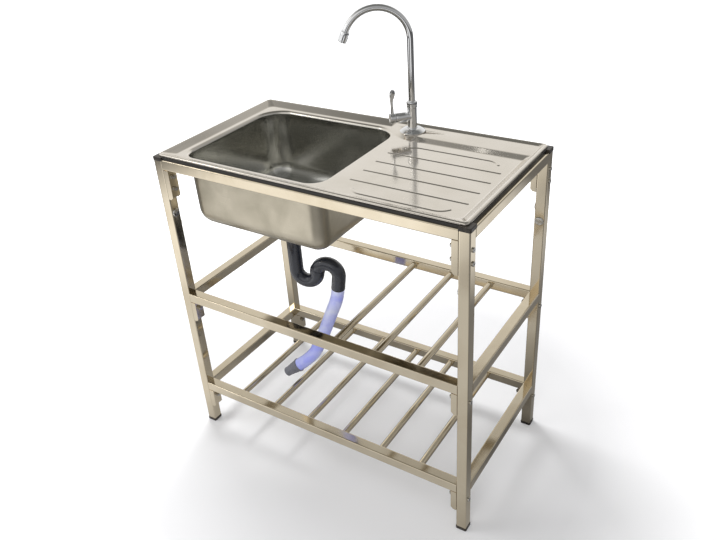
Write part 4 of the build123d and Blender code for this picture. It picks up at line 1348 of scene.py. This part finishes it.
    def build(self) -> None:
        """Builds the sheet's upper face from plan, bowl and rim, gives it its thickness and marks the satin bowl."""
        shell = Shell()
        shell.add(*self.plan())
        shell.add_grid(self.bowl_rings(), wrap_columns=True)
        shell.add_grid(self.rim_rings(), wrap_columns=True)
        piece = shell.build("sink_top_pressing", self.finishes.sink)
        mesh = piece.data
        if (values_of(mesh.polygons, "normal", 3)[:, 2:] * values_of(mesh.polygons, "area", 1)).sum() < 0:
            mesh.flip_normals()
        # The satin mask carries the bowl's rougher finish and its painted shade.
        depth = self.board - values_of(mesh.vertices, "co", 3)[:, 2]
        share = np.clip((depth - self.satin[0]) / self.satin[1], 0, 1)
        mesh.attributes.new("satin", "FLOAT", "POINT").data.foreach_set("value", share.astype(np.float32))
        # The underside and the bowl's outside take the darker, warmer copy of the steel: painted shade.
        mesh.materials.append(self.finishes.shaded_sink_underside)
        wall = piece.modifiers.new("sheet_thickness", "SOLIDIFY")
        wall.thickness = self.sheet
        wall.offset = -1.0
        wall.use_quality_normals = True
        wall.material_offset = 1
        settle(piece, Body.UNIT, "sink_steel", "sink_top")


# ---------------------------------------------------------------------------------------- drain and trap
@dataclass
class Drain:
    """The strainer under the bowl and the swan-neck trap.

    Attributes:
        finishes: The unit's finishes.
        axis: Plan place of the strainer.
        tail_end: Height where tail and trap meet.
        pipe: Radius of the pipe.
        wall: Wall of the pipe.
        bend: Radius of both bends on the centre line.
        level: Height where the two bends meet.
        direction: Direction of the trap's plane in degrees from +X.
        tilt: How far the outlet turns past the half turn, in degrees.
        outlet: Length of the straight outlet.
        socket: Radius of the second bend's socket.
        socket_sweep: Degrees of the second bend that the socket covers.
        socket_step: Degrees over which the socket steps down to the pipe.
        around: Points round the pipe.
        edge: Eased edge of the nuts.
    """

    finishes: Finishes
    axis: tuple[float, float] = (-0.1834, -0.010)
    tail_end: float = 0.555
    pipe: float = 0.018
    wall: float = 0.0025
    bend: float = 0.030
    level: float = 0.4475
    direction: float = 10.0
    tilt: float = 8.0
    outlet: float = 0.0364
    socket: float = 0.0195
    socket_sweep: float = 22.0
    socket_step: float = 1.2
    around: int = 40
    edge: float = 0.0005

    def place(self, across: Array, height: Array) -> Array:
        """Points in the trap's upright plane.

        Args:
            across: Distance from the strainer's axis along the plane.
            height: Height above the floor.

        Returns:
            Points, one row each.
        """
        heading = math.radians(self.direction)
        return np.stack(
            [self.axis[0] + across * math.cos(heading), self.axis[1] + across * math.sin(heading), height], axis=-1
        )

    def bend_path(self, number: int, degrees: Array) -> Array:
        """Centre line of bend 0, the valley, or bend 1, the crest.

        Across the plane it is the bend's centre less the radius times the cosine of the turn, and its height
        the level plus or less the radius times the sine.

        Args:
            number: 0 or 1.
            degrees: Turn so far.

        Returns:
            Points, one row each.
        """
        turn = np.radians(degrees)
        across = (1 + 2 * number) * self.bend - self.bend * np.cos(turn)
        rise = self.bend * np.sin(turn)
        return self.place(across, self.level + (rise if number else -rise))

    def outlet_end(self) -> tuple[Array, Array]:
        """Centre of the outlet and the way it points."""
        tilt = math.radians(self.tilt)
        middle, below = self.place(np.array([0.0, -math.sin(tilt)]), np.array([0.0, -math.cos(tilt)]))
        way = below - middle
        return self.bend_path(1, np.array(180 + self.tilt)) + way * self.outlet, way

    def build(self) -> None:
        """Builds the two bends and dresses the strainer, its gasket and its nuts."""
        heading = math.radians(self.direction)
        normal = np.array([-math.sin(heading), math.cos(heading), 0.0])
        inlet = self.place(np.zeros(8), np.linspace(self.tail_end, self.level, 9)[:-1])
        valley = np.concatenate([inlet, self.bend_path(0, np.linspace(0, 180, 49))])
        shell = Shell()
        shell.add_pipe(valley, normal, self.pipe, self.pipe - self.wall, self.around)
        shell.dress("trap_valley_pipe", self.finishes.trap_plastic, Body.UNIT, "trap_plastic", "trap_u_bend")

        socket = np.linspace(0, self.socket_sweep, 9)
        free = np.linspace(self.socket_sweep + self.socket_step, 180 + self.tilt, 46)
        crest = self.bend_path(1, np.concatenate([socket, free]))
        share = np.array([0.2, 0.4, 0.6, 0.8, 0.96, 1.0])[:, None]
        path = np.concatenate([crest, crest[-1] + share * (self.outlet_end()[0] - crest[-1])])
        radius = np.full(len(path), self.pipe)
        radius[: len(socket)] = self.socket
        radius[[len(socket) - 1, len(socket), -1]] += np.array([-0.4, 0.3, -0.7]) * MILLIMETRE
        shell = Shell()
        shell.add_pipe(path, normal, radius, self.pipe - self.wall, self.around)
        shell.dress("trap_crest_pipe", self.finishes.trap_plastic, Body.UNIT, "trap_plastic", "trap_swan_bend")

        copied_part("drain_flange", self.finishes.strainer, Body.UNIT, "drain_steel")
        copied_part("strainer_basket", self.finishes.strainer, Body.BASKET, "drain_steel")
        copied_part("drain_gasket", self.finishes.rubber, Body.UNIT, "black_rubber")
        for node in ("drain_backnut", "drain_coupling_nut"):
            copied_part(node, self.finishes.nut_plastic, Body.UNIT, "nut_plastic", self.edge)


# ---------------------------------------------------------------------------------------- waste hose
@dataclass
class WasteHose:
    """The pale waste hose that leaves the trap, folds once and ends in a dark cuff.

    Attributes:
        finishes: The unit's finishes.
        drain: The trap that it leaves.
        diameter: Outside of the hose.
        first_run: Straight run out of the trap.
        offsets: The other points of its route, from the trap's outlet.
        length: Length along its line; not used.
        pinch: Share of the full width at each point of the route.
        cuff_length: Length of the cuff.
        lip: Radius and length of its lip.
        cone: Radius where the cone leaves the lip.
        spigot: Radius and length of its end.
        bore: Radius of its bore.
        ribs: Number of ribs on the cone.
        rib: Height of a rib.
    """

    finishes: Finishes
    drain: Drain
    diameter: float = 0.034
    first_run: float = 0.030
    offsets: tuple[Point, ...] = (
        (-0.0208, -0.0089, -0.0742),
        (-0.0356, -0.0214, -0.1224),
        (-0.0493, -0.0364, -0.1653),
        (-0.0631, -0.0526, -0.2050),
        (-0.1010, -0.0699, -0.2358),
    )
    length: float = 0.273
    pinch: tuple[float, ...] = (1.0, 1.0, 1.0, 0.99, 1.0, 0.97, 1.0)
    cuff_length: float = 0.046
    lip: tuple[float, float] = (0.019, 0.004)
    cone: float = 0.017
    spigot: tuple[float, float] = (0.013, 0.012)
    bore: float = 0.010
    ribs: int = 4
    rib: float = 0.0009

    def route(self) -> Array:
        """The route's points: the outlet, a straight run out of it, and the chosen points."""
        start, way = self.drain.outlet_end()
        return np.concatenate([[start, start + way * self.first_run], start + np.array(self.offsets)])

    def cuff(self) -> Object:
        """The cuff: a lip, a cone with low ribs and a plain end, turned about the hose's last run.

        Between lip and end the radius falls evenly, and each rib adds a raised cosine to it.

        Returns:
            The piece.
        """
        before, end = self.route()[-2:]
        axis = (end - before) / np.linalg.norm(end - before)
        (lip, lip_end), (spigot, spigot_run), length = self.lip, self.spigot, self.cuff_length
        along = np.linspace(lip_end, length - spigot_run, 60)
        share = (along - lip_end) / (length - spigot_run - lip_end)
        wave = 0.5 - 0.5 * np.cos(2 * math.pi * share * self.ribs)
        radius = self.cone + (spigot - self.cone) * share + self.rib * wave**2
        profile = np.concatenate([
            [[self.bore, 0.0], [lip - 0.001, 0.0], [lip, 0.001], [lip, lip_end - 0.001], [lip - 0.001, lip_end]],
            np.stack([radius, along], axis=-1),
            [[spigot, length - 0.0012], [spigot - 0.0004, length - 0.0003], [spigot - 0.0012, length],
             [self.bore, length], [self.bore, length / 2]],
        ])
        shell = Shell()
        shell.add_turned(profile, end, axis, 48, True)
        return shell.dress("hose_cuff_ribbed", self.finishes.cuff_rubber, Body.UNIT, "cuff_rubber", "hose_cuff")

    def build(self) -> None:
        """Builds the hose as one smooth curve through its route, and its cuff."""
        points = self.route()
        curve = bpy.data.curves.new("waste_hose", "CURVE")
        curve.dimensions = "3D"
        curve.bevel_depth = self.diameter / 2
        curve.bevel_resolution = 12
        curve.resolution_u = 24
        curve.use_fill_caps = True
        spline = curve.splines.new("NURBS")
        spline.points.add(len(points) - 1)
        spline.points.foreach_set("co", np.column_stack([points, np.ones(len(points))]).ravel())
        spline.points.foreach_set("radius", self.pinch)
        spline.order_u = 3
        spline.use_endpoint_u = True
        curve.materials.append(self.finishes.hose_plastic)
        hose = settle(linked("waste_hose", curve), Body.UNIT, "hose_plastic", "drain_hose")
        cuff = self.cuff()


# ---------------------------------------------------------------------------------------- tap
# The lever by height: share of its height, then swing out, half width and half thickness in millimetres.
LEVER_KEYS = np.array([
    [0.0, 7.0, 4.1, 4.4], [0.2, 7.2, 3.6, 3.6], [0.38, 7.6, 3.0, 2.8], [0.52, 8.1, 2.9, 2.4], [0.62, 8.2, 3.6, 2.2],
    [0.74, 6.8, 5.9, 2.05], [0.85, 5.6, 6.9, 1.95], [0.94, 5.8, 5.6, 1.6], [1.0, 6.0, 3.6, 1.2],
])


@dataclass
class Tap:
    """The swan-neck tap: body with its valve, cover flange, lever, spout, aerator and nut.

    Attributes:
        finishes: The unit's finishes.
        axis: Plan place of the tap.
        deck: Height of the deck.
        body: Radius of the body.
        body_height: Height of the body above the deck.
        collar: Radius and height of the collar at its top.
        valve_height: Height of the valve's axis above the deck.
        valve: Radius of the valve.
        valve_reach: From the tap's axis to the valve's end.
        valve_direction: Direction of the valve in degrees from +X.
        hub: Length of the lever's hub.
        lever_height: Height of the lever above the valve's axis.
        lever_tip: Share of that height where the leaf starts to close.
        flange: Radius, edge height and height of the cover flange.
        spout: Radius of the spout's tube.
        spout_wall: Wall of the spout's tube.
        spout_seat: Depth of the spout in the collar.
        spout_rise: From the deck to the centre of the swan neck.
        spout_bend: Radius of the swan neck.
        spout_sweep: Sweep of the swan neck in degrees.
        spout_tip: Straight end of the spout.
        spout_direction: Direction of the spout in degrees from +X.
        aerator: Radius and length of the aerator.
        aerator_socket: How far the aerator reaches over the spout.
        shank: Radius of the shank under the deck and of the inlet below it.
        shank_lengths: Their lengths.
        bore: Radius of the water's way and its top above the deck.
        nut_edge: Eased edge of the nut.
    """

    finishes: Finishes
    axis: tuple[float, float] = (0.074, 0.163)
    deck: float = 0.804
    body: float = 0.011
    body_height: float = 0.074
    collar: tuple[float, float] = (0.0125, 0.015)
    valve_height: float = 0.037
    valve: float = 0.0115
    valve_reach: float = 0.040
    valve_direction: float = 225.0
    hub: float = 0.014
    lever_height: float = 0.069
    lever_tip: float = 0.94
    flange: tuple[float, float, float] = (0.030, 0.002, 0.009)
    spout: float = 0.0075
    spout_wall: float = 0.001
    spout_seat: float = 0.025
    spout_rise: float = 0.214
    spout_bend: float = 0.0735
    spout_sweep: float = 158.0
    spout_tip: float = 0.008
    spout_direction: float = 215.0
    aerator: tuple[float, float] = (0.010, 0.024)
    aerator_socket: float = 0.007
    shank: tuple[float, float] = (0.011, 0.01048)
    shank_lengths: tuple[float, float] = (0.016, 0.040)
    bore: tuple[float, float] = (0.0065, 0.018)
    nut_edge: float = 0.0004

    def foot(self) -> Array:
        """The point where the tap's axis meets the deck."""
        return np.array([*self.axis, self.deck])

    def spout_path(self) -> tuple[Array, Array]:
        """Centre line of the spout: straight up, round the swan neck and straight out of it.

        On the bend, the distance from the axis is the radius times one less the cosine of the turn, and the
        height the bend's centre plus the radius times its sine.

        Returns:
            Stations and the normal of the plane that holds them.
        """
        heading = math.radians(self.spout_direction)
        outward = np.array([math.cos(heading), math.sin(heading), 0.0])
        turn = np.radians(np.linspace(0, self.spout_sweep, 64))[:, None]
        centre = self.foot() + UP * self.spout_rise
        bend = centre + self.spout_bend * (UP * np.sin(turn) + outward * (1 - np.cos(turn)))
        base = self.foot() + UP * (self.body_height - self.spout_seat)
        riser = base + np.linspace(0, 1, 9)[:-1, None] * (bend[0] - base)
        last = math.radians(self.spout_sweep)
        way = UP * math.cos(last) + outward * math.sin(last)
        tip = bend[-1] + way * np.array([[0.5], [1.0]]) * self.spout_tip
        return np.concatenate([riser, bend, tip]), np.cross(outward, UP)

    def body_piece(self) -> None:
        """Builds the body: shank, turned column with its collar, and the valve that stands out of it."""
        r, h = self.body, self.body_height
        collar_r, collar_h = self.collar
        low = h - collar_h
        inlet_end = -sum(self.shank_lengths)
        profile = np.array([
            [0.0, self.bore[1]], [self.bore[0], self.bore[1]], [self.bore[0], inlet_end], [self.shank[1], inlet_end],
            [self.shank[1], -self.shank_lengths[0]],
            [self.shank[0], -self.shank_lengths[0]], [self.shank[0], 0.0], [r, 0.0], [r, low - 0.0014],
            [r + 0.0006, low - 0.0006], [collar_r - 0.0008, low], [collar_r, low + 0.0012], [collar_r, low + 0.0052],
            [collar_r - 0.0006, low + 0.0058], [collar_r - 0.0006, low + 0.0064], [collar_r, low + 0.007],
            [collar_r, h - 0.003], [collar_r - 0.0006, h - 0.0012], [collar_r - 0.002, h - 0.0003],
            [collar_r - 0.0035, h], [self.spout + 0.0002, h], [self.spout + 0.0002, h - self.spout_seat],
            [0.0, h - self.spout_seat],
        ])
        shell = Shell()
        shell.add_turned(profile, self.foot(), UP, 56)
        valve = np.array([
            [0.0, 0.002], [self.valve - 0.0016, 0.002], [self.valve - 0.0016, 0.0125], [self.valve - 0.0004, 0.0145],
            [self.valve, 0.0155], [self.valve, self.valve_reach - 0.0012],
            [self.valve - 0.0005, self.valve_reach - 0.0004],
            [self.valve - 0.0014, self.valve_reach - 0.0002], [0.0, self.valve_reach - 0.0002],
        ])
        origin, way = self.valve_axis()
        shell.add_turned(valve, origin, way, 56)
        shell.dress("tap_body_turned", self.finishes.chrome, Body.UNIT, "tap_chrome", "tap_body")

    def valve_axis(self) -> tuple[Array, Array]:
        """The point where the valve's axis leaves the tap's axis, and the way it points."""
        heading = math.radians(self.valve_direction)
        return self.foot() + UP * self.valve_height, np.array([math.cos(heading), math.sin(heading), 0.0])

    def lever(self) -> None:
        """Builds the lever: a round hub, and a handle whose oval section turns from a rod into a leaf.

        The handle's centre, width and thickness are smooth curves of its height: the centre swings out and
        back in, the width lies along the valve's axis, grows towards the leaf and closes at its tip.
        """
        origin, way = self.valve_axis()
        r, start, end = self.valve, self.valve_reach, self.valve_reach + self.hub
        hub = [
            [0.0, start + 0.0002], [r - 0.001, start + 0.0002], [r - 0.0003, start + 0.0008], [r, start + 0.0016],
            [r, end - 0.002], [r - 0.0006, end - 0.0007], [r - 0.002, end], [r - 0.0045, end],
            [r - 0.0052, end - 0.0006], [0.0, end - 0.0006],
        ]
        shell = Shell()
        shell.add_turned(hub, origin, way, 56)
        tip = self.lever_tip
        rounding = np.sin(np.radians(np.linspace(9, 90, 10)))
        share = np.concatenate([np.linspace(0.04, tip, 46), tip + (1 - tip) * rounding])
        key, *curves = LEVER_KEYS.T
        weights = np.hanning(9) / np.hanning(9).sum()
        out, half_width, half_thick = (
            np.convolve(np.pad(np.interp(share, key, curve) * MILLIMETRE, 4, mode="edge"), weights, mode="valid")
            for curve in curves
        )
        closing = np.sqrt(np.clip(1 - np.clip((share - tip) / (1 - tip), 0, 1) ** 2, 0, 1))
        side = np.cross(UP, way)
        centre = origin + UP * (share * self.lever_height)[:, None] + way * (start + out)[:, None]
        oval = circle(36) * (closing * np.stack([half_thick, half_width])).T[:, None]
        shell.add_grid(ring_about(centre, side, way, oval), wrap_columns=True)
        shell.add(centre[:1] + (oval[0] @ np.stack([side, way])), np.arange(36)[None, :])
        shell.dress("tap_lever_leaf", self.finishes.chrome, Body.LEVER, "tap_chrome", "tap_lever")

    def flange_piece(self) -> None:
        """Builds the cover flange: a low dome between its edge and the column, turned about the tap's axis."""
        outer, edge, height = self.flange
        inner = self.body + 0.0003
        share = np.linspace(0, 1, 14)
        radius = outer + (self.body + 0.002 - outer) * share
        dome = edge + (height - edge) * np.sin(share * math.pi / 2) ** 0.9
        profile = np.concatenate([
            [[inner, 0.0], [outer - 0.0004, 0.0], [outer, 0.0006]], np.stack([radius, dome], axis=-1),
            [[inner + 0.0006, height], [inner, height - 0.0006]],
        ])
        shell = Shell()
        shell.add_turned(profile, self.foot(), UP, 72, True)
        shell.dress("tap_flange_dome", self.finishes.chrome, Body.UNIT, "tap_chrome", "tap_flange")

    def spout_piece(self) -> None:
        """Builds the bent spout tube."""
        path, normal = self.spout_path()
        shell = Shell()
        shell.add_pipe(path, normal, self.spout, self.spout - self.spout_wall, 32)
        shell.dress("tap_spout_tube", self.finishes.chrome, Body.SPOUT, "tap_chrome", "tap_spout")

    def aerator_piece(self) -> None:
        """Builds the aerator: a turned sleeve with two grooves and an inner screen."""
        path, _ = self.spout_path()
        way = (path[-1] - path[-2]) / np.linalg.norm(path[-1] - path[-2])
        r, length = self.aerator
        seat, back, front = self.spout + 0.0002, -self.aerator_socket, length - self.aerator_socket
        profile = [
            [seat, back], [r - 0.0018, back], [r - 0.0006, back + 0.0005], [r - 0.0002, back + 0.0014],
            [r - 0.0002, back + 0.007], [r - 0.0009, back + 0.0076], [r - 0.0009, back + 0.0086], [r, back + 0.0092],
            [r, front - 0.0045], [r - 0.0007, front - 0.0038], [r - 0.0007, front - 0.003], [r, front - 0.0024],
            [r, front - 0.001], [r - 0.0008, front], [0.0066, front], [0.006, front - 0.0006],
            [0.006, front - 0.003], [0.0, front - 0.003],
        ]
        shell = Shell()
        shell.add_turned(profile, path[-1], way, 48)
        shell.add_turned([[seat, back], [seat, 0.0], [0.0, 0.0]], path[-1], way, 48)
        shell.dress("tap_aerator_sleeve", self.finishes.chrome, Body.SPOUT, "tap_chrome", "tap_aerator")

    def build(self) -> None:
        """Builds every piece of the tap."""
        self.body_piece()
        self.flange_piece()
        self.lever()
        self.spout_piece()
        self.aerator_piece()
        copied_part("tap_nut", self.finishes.brass, Body.UNIT, "tap_brass", self.nut_edge)


# ---------------------------------------------------------------------------------------- stage
@dataclass
class Studio:
    """The white floor, the soft lights and the camera.

    Attributes:
        image: Width and height of the picture in pixels.
        focal_pixels: Focal length in pixels.
        principal: Principal point in pixels from the top left.
        eye: Place of the camera.
        azimuth: Direction of view in degrees, from +Y towards -X.
        elevation: How far the camera looks down, in degrees.
        roll: Turn about the direction of view, in degrees.
        sensor: Width of the sensor in millimetres.
        floor_shade: Colour of the floor.
        floor_glow: The floor's own light to the eye near the unit; far away it is white.
        glow_ends: Distances where that light starts and ends growing.
        lit_share: Share of the floor's lit colour that metal shows; less than all, a painted shade in reflections.
        painted_light_pools: Glowing patches only metal sees, painted reflections: middle, stretch, strength of each.
        pool_edge: Where a pool starts and ends fading, as a share of its stretched radius.
        wall_start: Sine of the elevation up to which the walls are white.
        wall_end: Sine of the elevation where the white walls end and where the ceiling starts.
        wall_top: Colour of the walls' upper part.
        shade_ends: Where the walls start and end growing dim towards +X, as the direction's share of +X.
        shade_wall: Colour of the dim walls.
        ceiling: Colour of the ceiling.
        fill: Light of the room on the object.
    """

    image: tuple[int, int] = (716, 540)
    focal_pixels: float = 746.75
    principal: tuple[float, float] = (368.57, 255.83)
    eye: Point = (0.89328, -1.28779, 1.44635)
    azimuth: float = 33.65
    elevation: float = 30.41
    roll: float = -3.61
    sensor: float = 36.0
    floor_shade: Colour = (0.8, 0.8, 0.81)
    floor_glow: float = 0.12
    glow_ends: tuple[float, float] = (0.6, 1.5)
    lit_share: float = 0.3
    painted_light_pools: tuple[tuple[Point, Point, float], ...] = (
        ((-0.95, -1.40, 0.0), (1.05, 1.05, 1.0), 0.95),
        ((-0.75, -0.45, 0.0), (2.0, 2.0, 1.0), 0.6),
        ((-0.05, -0.65, 0.0), (1.05, 1.33, 1.0), 0.36),
        ((1.25, 1.10, 0.0), (1.6, 1.6, 1.0), 0.65),
        ((-2.30, -3.20, 0.0), (0.9, 0.8, 1.0), 1.0),
        ((-1.50, 5.00, 0.0), (0.3, 0.5, 1.0), 0.9),
        ((1.75, -2.85, 0.0), (0.8, 0.8, 1.0), 0.9),
    )
    pool_edge: tuple[float, float] = (0.6, 1.05)
    wall_start: float = 0.1
    wall_end: tuple[float, float] = (0.56, 0.85)
    wall_top: Colour = (0.84, 0.83, 0.81)
    shade_ends: tuple[float, float] = (0.15, 0.5)
    shade_wall: Colour = (0.4, 0.4, 0.4)
    ceiling: Colour = (0.18, 0.182, 0.175)
    fill: Colour = (0.42, 0.42, 0.425)

    def camera(self) -> None:
        """Sets up the camera at the picture's view."""
        azimuth, elevation, roll = (math.radians(angle) for angle in (self.azimuth, self.elevation, self.roll))
        forward = Vector((
            -math.sin(azimuth) * math.cos(elevation), math.cos(azimuth) * math.cos(elevation), -math.sin(elevation)
        ))
        right = Vector((math.cos(azimuth), math.sin(azimuth), 0.0))
        up = right.cross(forward)
        rolled_right = math.cos(roll) * right + math.sin(roll) * up
        rolled_up = -math.sin(roll) * right + math.cos(roll) * up
        data = bpy.data.cameras.new("picture_view")
        width, height = self.image
        data.sensor_width = self.sensor
        data.sensor_fit = "HORIZONTAL"
        data.lens = self.focal_pixels / width * self.sensor
        data.shift_x = (width / 2 - self.principal[0]) / width
        data.shift_y = (self.principal[1] - height / 2) / width
        camera = linked("picture_view", data)
        turn = Matrix((rolled_right, rolled_up, -forward)).transposed()
        camera.matrix_world = Matrix.Translation(self.eye) @ turn.to_4x4()
        bpy.context.scene.camera = camera

    def floor(self) -> None:
        """Lays the floor: white to the eye apart from the shadow, and in metal a duller one with pale pools.

        To the eye its own light grows with the distance until it is white. In metal its lit colour is dimmed, a
        painted shade, and each glowing patch, a painted reflection of light, is an ellipse whose strength falls off
        at its edge; where two meet the stronger one counts.
        """
        rings = np.stack([at_height(radius * circle(64), 0.0) for radius in (0.0, 1.0, 4.0, 30.0)])
        material, sheet, shader = new_material("studio_floor")
        settings = {"Base Color": (*self.floor_shade, 1.0), "Roughness": 0.9, "Specular IOR Level": 0.0}
        for label, value in settings.items():
            shader.inputs[label].default_value = value
        place = sheet.place()
        camera, mirrored = sheet.rays()

        def light(strength: object) -> NodeSocket:
            """White light of the given strength."""
            return sheet.add("ShaderNodeEmission", {"Color": (*WHITE, 1.0), "Strength": strength}).outputs[0]

        glow = sheet.remap(sheet.vector("LENGTH", place), *self.glow_ends, self.floor_glow, 1.0)
        own = light(sheet.maths("MULTIPLY", camera, glow))
        lit = sheet.add("ShaderNodeAddShader", {0: shader.outputs[0], 1: own}).outputs[0]
        # Glowing patches that only metal sees: painted reflections of light.
        strongest: object = 0.0
        for middle, stretch, strength in self.painted_light_pools:
            scaled = sheet.vector("MULTIPLY", sheet.vector("SUBTRACT", place, middle), stretch)
            pool = sheet.remap(sheet.vector("LENGTH", scaled), *self.pool_edge, strength, 0.0)
            strongest = sheet.maths("MAXIMUM", strongest, pool)
        # Metal sees only a share of the floor's lit colour: painted shade in its reflection.
        painted_dim_reflection = sheet.add("ShaderNodeMixShader", {0: self.lit_share, 2: lit}).outputs[0]
        shown = sheet.add("ShaderNodeAddShader", {0: painted_dim_reflection, 1: light(strongest)}).outputs[0]
        both = sheet.add("ShaderNodeMixShader", {0: mirrored, 1: lit, 2: shown}).outputs[0]
        sheet.tree.links.new(both, material.node_tree.nodes["Material Output"].inputs["Surface"])
        shell = Shell()
        shell.add_grid(rings, wrap_columns=True)
        shell.build("studio_floor", material, closed=False)

    def lamp(
        self, name: str, place: Point, target: Point, size: tuple[float, float], power: float, mirrored: bool
    ) -> None:
        """Adds a soft rectangular lamp.

        Args:
            name: Its name.
            place: Its middle.
            target: The point that it faces.
            size: Its width and height.
            power: Its power in watts.
            mirrored: Whether metal shows it.
        """
        data = bpy.data.lights.new(name, "AREA")
        data.shape = "RECTANGLE"
        data.size, data.size_y = size
        data.energy = power
        lamp = linked(name, data)
        lamp.location = place
        lamp.rotation_euler = (Vector(target) - Vector(place)).to_track_quat("-Z", "Y").to_euler()
        lamp.visible_glossy = mirrored

    def world(self) -> None:
        """Fills the room with soft light: walls that metal shows, dim on one side, up to a dark ceiling."""
        world = bpy.data.worlds.new("studio_room")
        world.use_nodes = True
        bpy.context.scene.world = world
        sheet = NodeSheet(world.node_tree)
        direction = sheet.add("ShaderNodeTexCoord").outputs["Generated"]
        parts = sheet.add("ShaderNodeSeparateXYZ", {0: direction}).outputs
        wall = sheet.blend(sheet.remap(parts["Z"], self.wall_start, self.wall_end[0]), WHITE, self.wall_top)
        wall = sheet.blend(sheet.remap(parts["X"], *self.shade_ends), wall, self.shade_wall)
        room = sheet.blend(sheet.remap(parts["Z"], *self.wall_end), wall, self.ceiling)
        camera, mirrored = sheet.rays()
        shown = sheet.blend(camera, room, WHITE)
        colour = sheet.blend(sheet.maths("MAXIMUM", camera, mirrored), self.fill, shown)
        background = world.node_tree.nodes["Background"]
        sheet.tree.links.new(colour, background.inputs["Color"])
        background.inputs["Strength"].default_value = 1.0

    def build(self) -> None:
        """Sets up the whole stage."""
        self.camera()
        self.floor()
        self.world()
        self.lamp("window", (-2.1, -1.5, 2.3), (-0.1, 0.0, 0.7), (1.1, 1.5), 2.4, True)
        self.lamp("window_glint", (-1.9, -1.6, 1.9), (-0.1, 0.0, 0.6), (0.3, 0.4), 1.6, True)
        self.lamp("ceiling_glint", (-0.42, 0.99, 2.25), (0.2, 0.0, 0.8), (0.04, 0.04), 0.012, True)
        self.lamp("soft_left", (-2.0, -1.3, 2.2), (0.0, 0.0, 0.5), (1.2, 1.4), 18.0, False)
        self.lamp("key", (-0.9, 0.6, 2.6), (0.0, 0.0, 0.3), (1.0, 0.8), 46.0, False)
        self.lamp("front_fill", (1.0, -2.3, 1.6), (0.0, 0.0, 0.4), (1.6, 1.2), 24.0, False)


def main() -> None:
    """Builds the unit's pieces in order, then the stage."""
    logging.basicConfig(level=logging.INFO, format="%(message)s")
    bpy.context.scene.view_settings.view_transform = "Standard"
    finishes = Finishes()
    drain = Drain(finishes)
    Studio().build()
    WasteHose(finishes, drain).build()
    drain.build()
    Stand(finishes).build()
    SinkTop(finishes).build()
    Tap(finishes).build()


if __name__ == "__main__":
    main()
